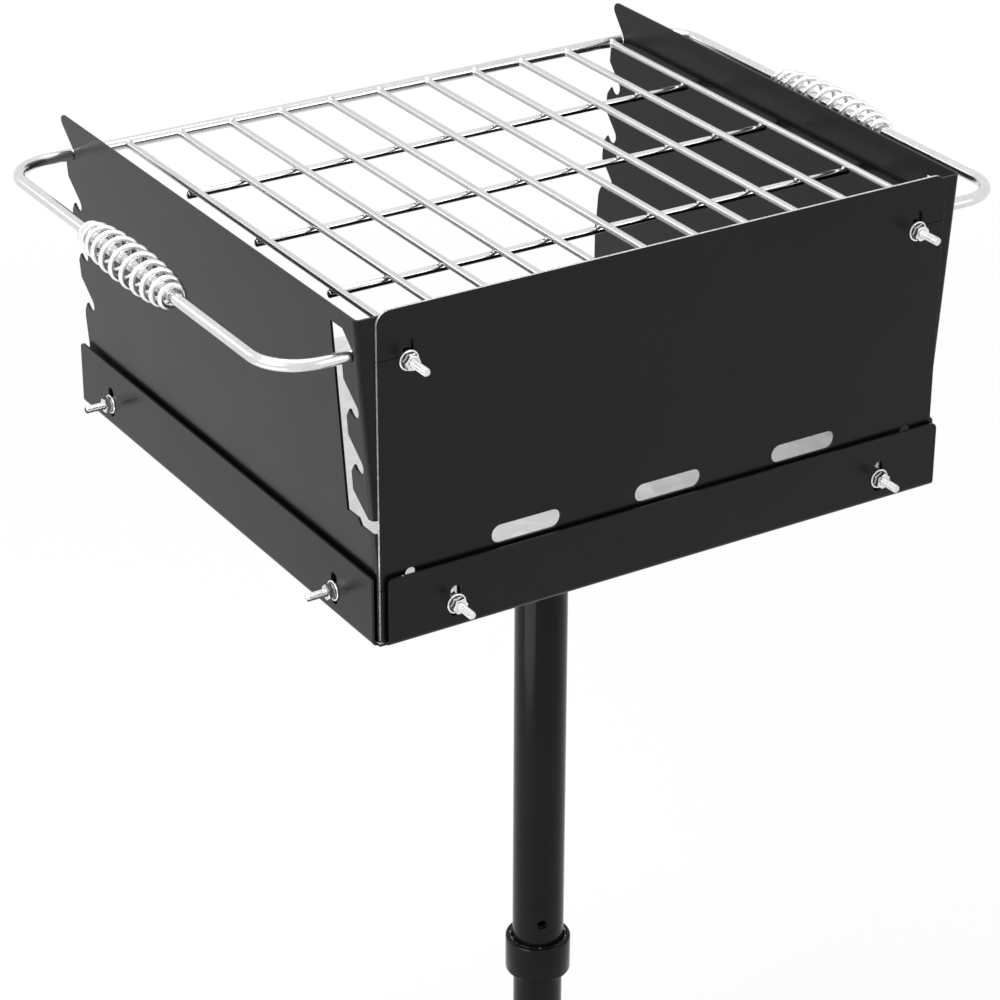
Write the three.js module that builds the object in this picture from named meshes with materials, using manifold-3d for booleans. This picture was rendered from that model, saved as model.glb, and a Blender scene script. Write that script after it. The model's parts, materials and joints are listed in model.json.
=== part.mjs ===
// A charcoal grill on a pedestal, for parks and camp sites, in millimetres with +Z up.
// The origin is on the post's axis at the underside of the base plate. The cook stands at -Y,
// where the fire box is open, and the vented rear panel faces +Y. Left and right are the cook's,
// so the left wall is at -X and the right wall at +X.
import * as THREE from 'three';
import { mergeVertices } from 'three/addons/utils/BufferGeometryUtils.js';
import Module from 'manifold-3d';

const wasm = await Module();
wasm.setup();

// Clearances and drawing aids
const fitGap = 0.3; // between round or cut neighbours
const overrun = 5; // how far a cutting solid passes the face that it cuts
const weldTolerance = 0.0005; // vertices closer than this are one
const rodSides = 12;
const holeSides = 16;
const tubeSides = 40;
const arcSteps = 5; // segments in a sheet bend or a plate's rounded corner

// Sheet metal fire box, measured from the tray's underside and the rear panel's outer face
const sheet = 2;
const boxWidth = 508; // inside the tray's side skirts, and the rear panel's width
const boxDepth = 487; // rear panel's outer face to the side skirts' front ends
const wallTop = 261;
const panelTop = 265;
const panelInset = 3.5; // rear panel's side edges, in from the box's half width
const skirtTop = 55.5;
const bendRadius = 2.5; // inside radius of the tray's bends
const wallBendRadius = 2.5; // inside radius of the bend between a wall and its flange
const wallLean = 14.5; // how far the wall's top stands out past its foot
const skirtCorner = 5;
const panelTopCorner = 11;
const panelFootCorner = 4;
const panelToSkirtGap = 1; // between the rear panel and the side skirts' rear ends
const rearSkirtRightInset = 8.5; // rear skirt's right end, in from the panel's edge
const flangeWidth = 54; // wall's rear flange, beside the toothed strip
const lowFlangeWidth = 22; // the same flange below the toothed strip
const flangeCut = 7; // cut corner at the top of the flange's free end

// Hooks and seats for the handle rod, cut in the walls' front edges and rear slots
const apexSetback = 1; // wall's front apex behind the skirts' front ends
const frontSeatSetback = 20.5; // front seats behind the apex
const rearSeatSetback = 15.5; // rear seats in front of the rear panel's outer face
const topSeatDrop = 31; // top seats below the wall's top edge
const lowSeatRise = 40.5; // lowest seats above the skirts
const seatCount = 4;
const seatSlack = 1.5; // seats' extra radius; the rod lies at their foot
const hookAngle = 47; // degrees above level at which the rod leaves a seat, towards the cook
const lipRun = 3.5; // straight lip from a seat's arc to the tooth's tip
const apexRounding = 5; // rounding of the wall's front apex
const footAdvance = 1.5; // front edge below the lowest seat, ahead of the teeth's faces
const toothDepth = 12; // seat centres behind the teeth's faces
const laneWidth = 12.3; // rear slot's lane in front of the teeth's faces
const slotGuideRun = 17; // top guide of the rear slot, along the hook's slant
const stripFootSetback = 8.3; // toothed strip's free foot, from the panel's outer face
const stripFootRise = 6; // that foot above the lowest seat's centre
const stripSlantRise = 22; // where the strip's last slant starts, above the lowest seat's centre
const slotStepHeight = 5; // step at the foot of the rear slot
const slotStepRun = 3.2;
const flangeNotch = 9; // how far the rear slot's foot cuts into the flange
const faceRiseShare = 0.49; // of the seat pitch: where a slant starts above its seat
const toothDropShare = 0.17; // of the seat pitch: tooth's face below its seat

// Vents and bolt slots
const ventCount = 3;
const ventPitch = 126;
const ventLength = 60;
const ventHeight = 15;
const ventRise = 9.5; // vent centres above the skirt's top
const slotWidth = 9;
const slotLength = 26;
const cornerSlotInset = 29; // panel's corner slots, in from its side edges
const topSlotDrop = 38; // upper corner slots below the panel's top
const lowSlotRise = 45.5; // lower corner slots above the tray's underside
const slitWidth = 0.6; // thin cut from a corner slot to the panel's edge
const skirtSlotRise = 22.5; // skirt slots above the tray's underside
const rearSlotInset = 60; // rear skirt's slots, in from the panel's side edges
const rearSlotShift = -4.5; // both rear skirt slots stand this far to the left
const sideSlotFront = 55; // side skirts' front slots, behind their front ends
const sideSlotRear = 59; // side skirts' rear slots, from the rear panel's outer face

// Fasteners
const boltDiameter = 6.35; // quarter-inch hardware
const boltLength = 30;
const boltChamfer = 0.8;
const headAcross = 11.1;
const headHeight = 4.1;
const nutHeight = 5.6;
const washerDiameter = 15.9;
const washerThickness = 1.65;
const boltDrop = 3.5; // upper bolts sit this far below their slots' middles
const skirtBoltDrop = 1.5; // the same for the skirt bolts
const postBoltDiameter = 7.9;
const postBoltLength = 20;
const postHeadAcross = 12.7;
const postHeadHeight = 5.3;
const postNutHeight = 6.7;

// Grate
const rodDiameter = 9.5; // bent rod that frames the grate and forms both handles
const barDiameter = 6;
const crossDiameter = 6;
const barCount = 11;
const crossCount = 3;
const gridInset = 20.5; // outer bars inside the box's half width
const gridShift = -19; // the grid lies this far left of the middle
const handleReach = 68; // handle legs outside the box's half width
const loopCorner = 36; // centreline radius of the rod's corners
const loopCornerSteps = 7;
const grateTravel = 17; // how far the grate slides up out of its hooks

// Coil grips
const wireDiameter = 4.5;
const gripLength = 146;
const gripTurns = 10.5;
const gripMidRadius = 14.6; // wire's centreline at the middle of the barrel
const gripEndSpacing = 9.5; // pitch of the last curls
const gripShift = 1; // both grips lie this far behind the legs' middles
const curlSteps = 8;
const wireSides = 5;
const barrelPower = 0.75; // how full the barrel is near its ends

// Post and base
const baseSize = 230;
const baseThickness = 6;
const baseCorner = 15;
const anchorInset = 25; // anchor holes, in from the base plate's edges
const anchorHole = 12;
const postDiameter = 44;
const postWall = 2;
const lowerDiameter = 42;
const collarDiameter = 56;
const collarHeight = 34.5;
const collarUnderside = 290; // above the ground
const collarToTray = 443; // collar's top to the tray's underside
const collarGrip = 14; // how deep the upper post sits in the collar
const collarEdge = 2.5; // rounding of the collar's outer rims
const collarRecess = 3; // weld recess at the top of the collar
const spigotWall = 2.5;
const spigotUp = 130;
const spigotDown = 110;
const pinHole = 9;
const pinHoleRise = 22; // pin hole above the collar's top
const pinHoleAngle = 67; // degrees from +X towards +Y
const flangeSize = 120;
const flangeThickness = 5;
const flangeCorner = 10;
const postBoltSpacing = 80;
const panelSetback = 175; // rear panel's outer face behind the post's axis

// Sizes worked out from the ones above
const halfWidth = boxWidth / 2;
const trayHeight = collarUnderside + collarHeight + collarToTray;
const apexY = apexSetback - boxDepth;
const frontSeatY = apexY + frontSeatSetback;
const rearSeatY = -rearSeatSetback;
const topSeatZ = wallTop - topSeatDrop;
const lowSeatZ = skirtTop + lowSeatRise;
const seatPitch = (topSeatZ - lowSeatZ) / (seatCount - 1);
const seatRadius = rodDiameter / 2 + fitGap;
const hook = THREE.MathUtils.degToRad(hookAngle);
const wallFoot = halfWidth - bendRadius; // wall's outer face at its foot
const wallLength = -apexY - sheet;
const flangeFaceY = -sheet; // wall flange lies flat on the panel's inner face
const skirtOuter = halfWidth + sheet;
const rearSkirtOuter = bendRadius + sheet;
const sideSlotPlaces = [sideSlotFront - boxDepth, -sideSlotRear];
const rearSlotPlaces = [rearSlotInset - halfWidth, halfWidth - rearSlotInset].map((x) => x + rearSlotShift);
const cornerSlotX = halfWidth - cornerSlotInset;
const upperSlotZ = panelTop - topSlotDrop;
const legX = halfWidth + handleReach;
const seatMidY = (frontSeatY + rearSeatY) / 2;
const seatSpan = rearSeatY - frontSeatY;

// Finishes
const finish = (color, metalness, roughness) => new THREE.MeshStandardMaterial({ color, metalness, roughness });
const finishes = {
  sheetBlack: finish(0x2e2e30, 0.1, 0.45),
  postBlack: finish(0x232325, 0.1, 0.25),
  stainless: finish(0xd8d8da, 1, 0.28),
  zinc: finish(0xcfd0d2, 1, 0.35),
  hidden: finish(0x8c8d90, 0.9, 0.5),
};

// Solids and their geometry
function solidOf(geometry) {
  const bare = geometry.clone();
  bare.deleteAttribute('normal');
  bare.deleteAttribute('uv');
  const merged = mergeVertices(bare, weldTolerance);
  const vertProperties = new Float32Array(merged.attributes.position.array);
  const triVerts = new Uint32Array(merged.index.array);
  return new wasm.Manifold(new wasm.Mesh({ numProp: 3, vertProperties, triVerts }));
}

function geometryOf(solid) {
  const mesh = solid.getMesh();
  const geometry = new THREE.BufferGeometry();
  geometry.setAttribute('position', new THREE.BufferAttribute(new Float32Array(mesh.vertProperties), 3));
  geometry.setIndex(new THREE.BufferAttribute(new Uint32Array(mesh.triVerts), 1));
  geometry.computeVertexNormals();
  return geometry;
}

const joined = (solids) => solids.reduce((whole, next) => whole.add(next));
const cutBy = (solid, cutters) => cutters.reduce((left, cutter) => left.subtract(cutter), solid);

// Flat outlines, drawn in two coordinates
function rectangle(lowX, lowY, highX, highY) {
  const shape = new THREE.Shape();
  shape.moveTo(lowX, lowY);
  shape.lineTo(highX, lowY);
  shape.lineTo(highX, highY);
  shape.lineTo(lowX, highY);
  return shape;
}

function roundedRectangle(lowX, lowY, highX, highY, footRadius, topRadius) {
  const shape = new THREE.Shape();
  shape.moveTo(lowX + footRadius, lowY);
  shape.lineTo(highX - footRadius, lowY);
  shape.absarc(highX - footRadius, lowY + footRadius, footRadius, -Math.PI / 2, 0);
  shape.lineTo(highX, highY - topRadius);
  shape.absarc(highX - topRadius, highY - topRadius, topRadius, 0, Math.PI / 2);
  shape.lineTo(lowX + topRadius, highY);
  shape.absarc(lowX + topRadius, highY - topRadius, topRadius, Math.PI / 2, Math.PI);
  shape.lineTo(lowX, lowY + footRadius);
  shape.absarc(lowX + footRadius, lowY + footRadius, footRadius, Math.PI, 1.5 * Math.PI);
  return shape;
}

// A slot with round ends; tall ones stand along the second coordinate
function slotOutline(centreX, centreY, length, width, tall) {
  const radius = width / 2;
  const reach = length / 2 - radius;
  const turn = tall ? Math.PI / 2 : 0;
  const shape = new THREE.Shape();
  const endX = tall ? 0 : reach;
  const endY = tall ? reach : 0;
  shape.absarc(centreX + endX, centreY + endY, radius, turn - Math.PI / 2, turn + Math.PI / 2);
  shape.absarc(centreX - endX, centreY - endY, radius, turn + Math.PI / 2, turn + 1.5 * Math.PI);
  return shape;
}

function circleOutline(centreX, centreY, radius) {
  const shape = new THREE.Shape();
  shape.absarc(centreX, centreY, radius, 0, 2 * Math.PI);
  return shape;
}

// Outlines are extruded along a row axis between two places on it
function extruded(shape, depth, segments) {
  return new THREE.ExtrudeGeometry(shape, { depth, bevelEnabled: false, curveSegments: segments });
}

function alongX(shape, fromX, toX, segments = holeSides / 2) {
  const turn = new THREE.Matrix4().makeBasis(
    new THREE.Vector3(0, 1, 0), new THREE.Vector3(0, 0, 1), new THREE.Vector3(1, 0, 0));
  return extruded(shape, toX - fromX, segments).applyMatrix4(turn).translate(fromX, 0, 0);
}

function alongY(shape, fromY, toY, segments = holeSides / 2) {
  const turn = new THREE.Matrix4().makeBasis(
    new THREE.Vector3(1, 0, 0), new THREE.Vector3(0, 0, 1), new THREE.Vector3(0, -1, 0));
  return extruded(shape, toY - fromY, segments).applyMatrix4(turn).translate(0, toY, 0);
}

function alongZ(shape, fromZ, toZ, segments = holeSides / 2) {
  return extruded(shape, toZ - fromZ, segments).translate(0, 0, fromZ);
}

// A turned part from its half section, as [radius, height] pairs
function turned(section, sides) {
  const points = section.map(([radius, height]) => new THREE.Vector2(radius, height));
  return new THREE.LatheGeometry(points, sides).rotateX(Math.PI / 2);
}

function tube(outerRadius, innerRadius, bottom, top, sides) {
  return turned([
    [innerRadius, bottom], [outerRadius, bottom], [outerRadius, top], [innerRadius, top], [innerRadius, bottom],
  ], sides);
}

// Rounds the corner of an upright plate: a square less a quarter disc, to be cut away
function cornerCutter(cornerY, cornerZ, towardsY, radius, fromX, toX) {
  const centreY = cornerY - towardsY * radius;
  const centreZ = cornerZ - radius;
  const shape = new THREE.Shape();
  shape.moveTo(centreY, cornerZ);
  for (let step = 1; step <= arcSteps; step += 1) {
    const angle = Math.PI / 2 * (1 - step / arcSteps);
    shape.lineTo(centreY + towardsY * radius * Math.cos(angle), centreZ + radius * Math.sin(angle));
  }
  shape.lineTo(cornerY + towardsY * overrun, centreZ);
  shape.lineTo(cornerY + towardsY * overrun, cornerZ + overrun);
  shape.lineTo(centreY, cornerZ + overrun);
  return solidOf(alongX(shape, fromX, toX));
}

// Tray: one folded sheet with a floor, two side skirts and a rear skirt
function traySideOutline() {
  const bendOuter = bendRadius + sheet;
  const shape = new THREE.Shape();
  shape.moveTo(-wallFoot, 0);
  shape.lineTo(wallFoot, 0);
  shape.absarc(wallFoot, bendOuter, bendOuter, -Math.PI / 2, 0);
  shape.lineTo(skirtOuter, skirtTop);
  shape.lineTo(halfWidth, skirtTop);
  shape.lineTo(halfWidth, bendOuter);
  shape.absarc(wallFoot, bendOuter, bendRadius, 0, -Math.PI / 2, true);
  shape.lineTo(-wallFoot, sheet);
  shape.absarc(-wallFoot, bendOuter, bendRadius, -Math.PI / 2, -Math.PI, true);
  shape.lineTo(-halfWidth, skirtTop);
  shape.lineTo(-skirtOuter, skirtTop);
  shape.lineTo(-skirtOuter, bendOuter);
  shape.absarc(-wallFoot, bendOuter, bendOuter, Math.PI, 1.5 * Math.PI);
  return shape;
}

function trayRearOutline() {
  const bendOuter = bendRadius + sheet;
  const shape = new THREE.Shape();
  shape.moveTo(-sheet, 0);
  shape.lineTo(0, 0);
  shape.absarc(0, bendOuter, bendOuter, -Math.PI / 2, 0);
  shape.lineTo(bendOuter, skirtTop);
  shape.lineTo(bendRadius, skirtTop);
  shape.lineTo(bendRadius, bendOuter);
  shape.absarc(0, bendOuter, bendRadius, 0, -Math.PI / 2, true);
  shape.lineTo(-sheet, sheet);
  return shape;
}

function trayGeometry() {
  const sideRearY = -sheet - panelToSkirtGap;
  const rearRight = halfWidth - rearSkirtRightInset;
  const body = solidOf(alongY(traySideOutline(), -boxDepth, sideRearY, arcSteps));
  const rearFloor = solidOf(alongZ(rectangle(-wallFoot, sideRearY - sheet, wallFoot, 0), 0, sheet));
  const rearSkirt = solidOf(alongX(trayRearOutline(), -halfWidth, rearRight, arcSteps));
  const cutters = [
    cornerCutter(-boxDepth, skirtTop, -1, skirtCorner, -skirtOuter - overrun, skirtOuter + overrun),
    cornerCutter(sideRearY, skirtTop, 1, bendRadius, -skirtOuter - overrun, skirtOuter + overrun),
  ];
  for (const y of sideSlotPlaces) {
    const slot = slotOutline(y, skirtSlotRise, slotLength, slotWidth, true);
    cutters.push(solidOf(alongX(slot, -skirtOuter - overrun, skirtOuter + overrun)));
  }
  const rearCutters = rearSlotPlaces.map((x) => {
    const slot = slotOutline(x, skirtSlotRise, slotLength, slotWidth, true);
    return solidOf(alongY(slot, 0, rearSkirtOuter + overrun));
  });
  rearCutters.push(rearSkirtCorner(rearRight, 1), rearSkirtCorner(-halfWidth, -1));
  for (const [x, y] of postBoltPlaces()) {
    const hole = circleOutline(x, y - panelSetback, postBoltDiameter / 2 + fitGap);
    rearCutters.push(solidOf(alongZ(hole, -overrun, sheet + overrun)));
  }
  const sides = cutBy(body, cutters);
  return geometryOf(cutBy(joined([sides, rearFloor, rearSkirt]), rearCutters));
}

function rearSkirtCorner(endX, side) {
  const centreX = endX - side * skirtCorner;
  const centreZ = skirtTop - skirtCorner;
  const shape = new THREE.Shape();
  shape.moveTo(centreX, skirtTop);
  for (let step = 1; step <= arcSteps; step += 1) {
    const angle = Math.PI / 2 * (1 - step / arcSteps);
    shape.lineTo(centreX + side * skirtCorner * Math.cos(angle), centreZ + skirtCorner * Math.sin(angle));
  }
  shape.lineTo(endX + side * sheet / 2, centreZ);
  shape.lineTo(endX + side * sheet / 2, skirtTop + overrun);
  shape.lineTo(centreX, skirtTop + overrun);
  return solidOf(alongY(shape, bendRadius / 2, rearSkirtOuter + overrun));
}

// Rear panel: a flat plate with three vents, slots for the bolts and a thin slit by each corner slot
function rearPanelGeometry() {
  const reach = halfWidth - panelInset;
  const outline = roundedRectangle(-reach, sheet, reach, panelTop, panelFootCorner, panelTopCorner);
  const through = (shape) => solidOf(alongY(shape, -sheet - overrun, overrun));
  const cutters = [];
  for (let index = 0; index < ventCount; index += 1) {
    const x = (index - (ventCount - 1) / 2) * ventPitch;
    cutters.push(through(slotOutline(x, skirtTop + ventRise, ventLength, ventHeight, false)));
  }
  for (const side of [-1, 1]) {
    for (const z of [upperSlotZ, lowSlotRise]) {
      const slotX = side * cornerSlotX;
      const edgeX = side * (halfWidth + overrun);
      const slit = rectangle(Math.min(slotX, edgeX), z - slitWidth / 2, Math.max(slotX, edgeX), z + slitWidth / 2);
      cutters.push(through(slotOutline(slotX, z, slotLength, slotWidth, true)), through(slit));
    }
  }
  for (const x of rearSlotPlaces) {
    cutters.push(through(slotOutline(x, skirtSlotRise, slotLength, slotWidth, true)));
  }
  return geometryOf(cutBy(solidOf(alongY(outline, -sheet, 0, arcSteps)), cutters));
}

// Toothed edges, in the wall's own plane as (y, z). The rod lies in round seats and leaves each one
// along the hook's slant, which the lip in front of the seat follows.
const hookUp = new THREE.Vector2(-Math.cos(hook), Math.sin(hook));
const hookBack = new THREE.Vector2(Math.sin(hook), Math.cos(hook));

function seatCentres(y) {
  return Array.from({ length: seatCount }, (_, index) => new THREE.Vector2(y, topSeatZ - index * seatPitch));
}

// A seat is wider than the rod, which lies at its foot
const wideRadius = seatRadius + seatSlack;
const seatMiddle = (centre) => new THREE.Vector2(centre.x, centre.y + seatSlack);

// Points down a toothed edge from a start above the seat, round the seat and up to the tooth's tip
function seatPoints(centre, start) {
  const middle = seatMiddle(centre);
  const away = middle.clone().sub(start);
  const slant = Math.atan2(away.y, away.x) + Math.asin(wideRadius / away.length());
  const from = slant + Math.PI / 2;
  const to = Math.atan2(-hookBack.y, -hookBack.x);
  const points = [start];
  const steps = 2 * arcSteps;
  for (let step = 0; step <= steps; step += 1) {
    const angle = from + (to - from) * step / steps;
    const spoke = new THREE.Vector2(Math.cos(angle), Math.sin(angle));
    points.push(middle.clone().addScaledVector(spoke, wideRadius));
  }
  const lip = points[points.length - 1].clone().addScaledVector(hookUp, lipRun);
  const face = new THREE.Vector2(centre.x - toothDepth, centre.y - toothDropShare * seatPitch);
  return [...points, lip, face];
}

// The guide above the top seat runs along the hook's slant for the given length
const guideStart = (centre, run) => seatMiddle(centre)
  .addScaledVector(hookBack, wideRadius).addScaledVector(hookUp, run);
const slantStart = (centre) => new THREE.Vector2(centre.x - toothDepth, centre.y + faceRiseShare * seatPitch);

function outlineThrough(points) {
  const shape = new THREE.Shape();
  shape.setFromPoints(points);
  return shape;
}

// From above the wall's top edge round the apex, as far as the start of the guide's slant
function apexPoints(tangentY) {
  const points = [new THREE.Vector2(tangentY, wallTop + overrun)];
  for (let step = 0; step < arcSteps; step += 1) {
    const angle = Math.PI / 2 + (Math.PI - hook) * step / arcSteps;
    points.push(new THREE.Vector2(
      tangentY + apexRounding * Math.cos(angle), wallTop - apexRounding + apexRounding * Math.sin(angle)));
  }
  return points;
}

// Everything in front of the wall's front edge
function frontCutOutline() {
  const centres = seatCentres(frontSeatY);
  const farY = apexY - frontSeatSetback;
  const footY = frontSeatY - toothDepth - footAdvance;
  const guideFoot = guideStart(centres[0], 0);
  const tipRun = (wallTop - guideFoot.y) / hookUp.y;
  const tangentRun = apexRounding / Math.tan(hook / 2);
  const apexArc = apexPoints(guideStart(centres[0], tipRun).x + tangentRun);
  const points = centres.flatMap((centre, index) => {
    const start = index === 0 ? guideStart(centre, tipRun - tangentRun) : slantStart(centre);
    return seatPoints(centre, start);
  });
  points.unshift(...apexArc);
  points.push(new THREE.Vector2(footY, centres[seatCount - 1].y - toothDepth - footAdvance));
  points.push(new THREE.Vector2(footY, -overrun), new THREE.Vector2(farY, -overrun));
  points.push(new THREE.Vector2(farY, points[0].y));
  return outlineThrough(points);
}

// The slot behind the front edge's copy: a lane with the same seats on its rear side, open at its foot
function rearSlotOutline() {
  const centres = seatCentres(rearSeatY);
  const lowest = centres[seatCount - 1];
  const laneFront = rearSeatY - toothDepth - laneWidth;
  const floorZ = lowest.y - seatRadius;
  const stepY = rearSeatY - seatRadius;
  const points = centres.slice(0, seatCount - 1).flatMap((centre, index) => {
    const start = index === 0 ? guideStart(centre, slotGuideRun) : slantStart(centre);
    return seatPoints(centre, start);
  });
  points.push(
    new THREE.Vector2(rearSeatY - toothDepth, lowest.y + stripSlantRise),
    new THREE.Vector2(-stripFootSetback, lowest.y + stripFootRise),
    new THREE.Vector2(overrun, lowest.y + stripFootRise),
    new THREE.Vector2(overrun, floorZ),
    new THREE.Vector2(stepY, floorZ),
    new THREE.Vector2(stepY - slotStepRun, floorZ + slotStepHeight),
    new THREE.Vector2(laneFront, floorZ + slotStepHeight),
    new THREE.Vector2(laneFront, points[0].y),
  );
  return outlineThrough(points);
}

// Wall: an upright sheet with a rear flange, in plan, bent outwards above the skirt
function wallPlanOutline(side) {
  const bendOuter = wallBendRadius + sheet;
  const innerX = wallFoot - sheet;
  const bendX = wallFoot - bendOuter;
  const bendY = flangeFaceY - bendOuter;
  const flangeEndX = wallFoot - flangeWidth;
  const arc = (radius, from, to) => Array.from({ length: arcSteps + 1 }, (_, step) => {
    const angle = from + (to - from) * step / arcSteps;
    return new THREE.Vector2(bendX + radius * Math.cos(angle), bendY + radius * Math.sin(angle));
  });
  const points = [
    new THREE.Vector2(innerX, apexY),
    new THREE.Vector2(wallFoot, apexY),
    ...arc(bendOuter, 0, Math.PI / 2),
    new THREE.Vector2(flangeEndX, flangeFaceY),
    new THREE.Vector2(flangeEndX, flangeFaceY - sheet),
    ...arc(wallBendRadius, Math.PI / 2, 0),
  ];
  return outlineThrough(points.map((point) => new THREE.Vector2(side * point.x, point.y)));
}

const leanAt = (z) => wallLean * Math.max(0, z - skirtTop) / (wallTop - skirtTop);

// The blank has rings of points at its foot, at the skirt's top and at its own top
function wallBlank(side) {
  const blank = new THREE.ExtrudeGeometry(wallPlanOutline(side), {
    depth: 1, steps: 2, bevelEnabled: false, curveSegments: arcSteps,
  });
  const levels = [sheet, skirtTop, wallTop];
  const position = blank.attributes.position;
  for (let index = 0; index < position.count; index += 1) {
    const z = levels[Math.round(2 * position.getZ(index))];
    position.setZ(index, z);
    position.setX(index, position.getX(index) + side * leanAt(z));
  }
  return solidOf(blank);
}

// Boxes and slots are drawn for the right wall and mirrored for the left one
function wallGeometry(side) {
  const acrossWall = (shape, innerX) => {
    const outerX = skirtOuter + wallLean + overrun;
    return solidOf(side > 0 ? alongX(shape, innerX, outerX) : alongX(shape, -outerX, -innerX));
  };
  const acrossFlange = (shape) => solidOf(alongY(shape, flangeFaceY - sheet - overrun, flangeFaceY + overrun));
  const spanX = (lowX, lowZ, highX, highZ) => rectangle(
    Math.min(side * lowX, side * highX), lowZ, Math.max(side * lowX, side * highX), highZ);
  const insideWall = wallFoot - sheet - wallBendRadius;
  const stripFoot = lowSeatZ + stripFootRise;
  const flangeTopX = wallFoot - flangeWidth + wallLean;
  const cutCorner = outlineThrough([
    new THREE.Vector2(side * (flangeTopX - overrun), wallTop + overrun),
    new THREE.Vector2(side * (flangeTopX + flangeCut + overrun), wallTop + overrun),
    new THREE.Vector2(side * (flangeTopX - overrun), wallTop - flangeCut - overrun),
  ]);
  const cutters = [
    acrossWall(frontCutOutline(), insideWall),
    acrossWall(rearSlotOutline(), wallFoot - flangeNotch),
    acrossFlange(spanX(wallFoot - flangeWidth - overrun, -overrun, wallFoot - lowFlangeWidth, stripFoot)),
    acrossFlange(circleOutline(side * cornerSlotX, upperSlotZ - boltDrop, boltDiameter / 2 + fitGap)),
    acrossFlange(cutCorner),
  ];
  for (const y of sideSlotPlaces) {
    cutters.push(acrossWall(slotOutline(y, skirtSlotRise, slotLength, slotWidth, true), insideWall));
  }
  return geometryOf(cutBy(wallBlank(side), cutters));
}

// Fasteners stand on +Z, with the clamped face at zero
function hexagon(across) {
  const shape = new THREE.Shape();
  const corner = across / Math.sqrt(3);
  for (let index = 0; index < 6; index += 1) {
    const angle = index * Math.PI / 3;
    shape[index === 0 ? 'moveTo' : 'lineTo'](corner * Math.cos(angle), corner * Math.sin(angle));
  }
  return shape;
}

function boltGeometry(diameter, length, across, height) {
  const radius = diameter / 2;
  const head = solidOf(alongZ(hexagon(across), -height, 0));
  const shank = solidOf(turned([
    [0, -height / 2], [radius, -height / 2], [radius, length - boltChamfer],
    [radius - boltChamfer, length], [0, length],
  ], rodSides));
  return geometryOf(head.add(shank));
}

function nutGeometry(diameter, across, height) {
  const shape = hexagon(across);
  shape.holes.push(new THREE.Path().absarc(0, 0, diameter / 2 + fitGap, 0, 2 * Math.PI, true));
  return alongZ(shape, 0, height);
}

const washerGeometry = () => tube(
  washerDiameter / 2, boltDiameter / 2 + fitGap, 0, washerThickness, 2 * rodSides);

// Grate rod: a closed rectangle with round corners, walked station by station
class GrateLoop extends THREE.Curve {
  constructor(halfX, halfY, radius, steps) {
    super();
    this.stations = [];
    this.headings = [];
    for (let corner = 0; corner < 4; corner += 1) {
      const start = corner * Math.PI / 2;
      const signX = corner === 0 || corner === 3 ? 1 : -1;
      const signY = corner < 2 ? 1 : -1;
      for (let step = 0; step <= steps; step += 1) {
        const angle = start + step / steps * Math.PI / 2;
        const x = signX * (halfX - radius) + radius * Math.cos(angle);
        const y = signY * (halfY - radius) + radius * Math.sin(angle);
        this.stations.push(new THREE.Vector3(x, y, 0));
        this.headings.push(new THREE.Vector3(-Math.sin(angle), Math.cos(angle), 0));
      }
    }
  }

  stationAt(share) {
    return Math.round(share * this.stations.length) % this.stations.length;
  }

  getPoint(share, target = new THREE.Vector3()) {
    return target.copy(this.stations[this.stationAt(share)]);
  }

  getPointAt(share, target) {
    return this.getPoint(share, target);
  }

  getTangentAt(share, target = new THREE.Vector3()) {
    return target.copy(this.headings[this.stationAt(share)]);
  }
}

function grateLoopGeometry() {
  const path = new GrateLoop(legX, seatSpan / 2, loopCorner, loopCornerSteps);
  return new THREE.TubeGeometry(path, path.stations.length, rodDiameter / 2, rodSides, true);
}

const barGeometry = () => new THREE.CylinderGeometry(
  barDiameter / 2, barDiameter / 2, seatSpan - rodDiameter - 2 * fitGap, rodSides);

const gridHalf = halfWidth - gridInset;

const crossGeometry = () => new THREE.CylinderGeometry(
  crossDiameter / 2, crossDiameter / 2, 2 * gridHalf + barDiameter, rodSides)
  .rotateZ(Math.PI / 2);

// Coil grip: one wire wound as a barrel along Y, tight at both ends, which run out straight
const wireReach = wireDiameter / 2 * Math.cos(Math.PI / wireSides); // its flat side faces the rod
const gripEndRadius = (rodDiameter / 2 + fitGap + wireReach) / Math.cos(Math.PI / curlSteps);

function gripStations() {
  const count = Math.round(gripTurns * curlSteps);
  const windingLength = gripLength - wireDiameter;
  const extraSpacing = 2 * (windingLength / gripTurns - gripEndSpacing);
  const stations = [];
  for (let index = 0; index <= count; index += 1) {
    const share = index / count;
    const angle = 2 * Math.PI * gripTurns * share;
    const swell = Math.sin(Math.PI * share) ** barrelPower;
    const radius = gripEndRadius + (gripMidRadius - gripEndRadius) * swell;
    const bulge = share / 2 - Math.sin(2 * Math.PI * share) / (4 * Math.PI);
    const along = gripTurns * (gripEndSpacing * share + extraSpacing * bulge);
    stations.push(new THREE.Vector3(radius * Math.cos(angle), along - windingLength / 2, radius * Math.sin(angle)));
  }
  const first = straightEnd(stations[0], -1);
  const last = straightEnd(stations[count], 1);
  return [first, ...stations, last];
}

// The wire leaves the winding along its tangent for one wire diameter
function straightEnd(station, sense) {
  const tangent = new THREE.Vector3(-station.z, 0, station.x).normalize();
  return station.clone().addScaledVector(tangent, sense * wireDiameter);
}

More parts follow.
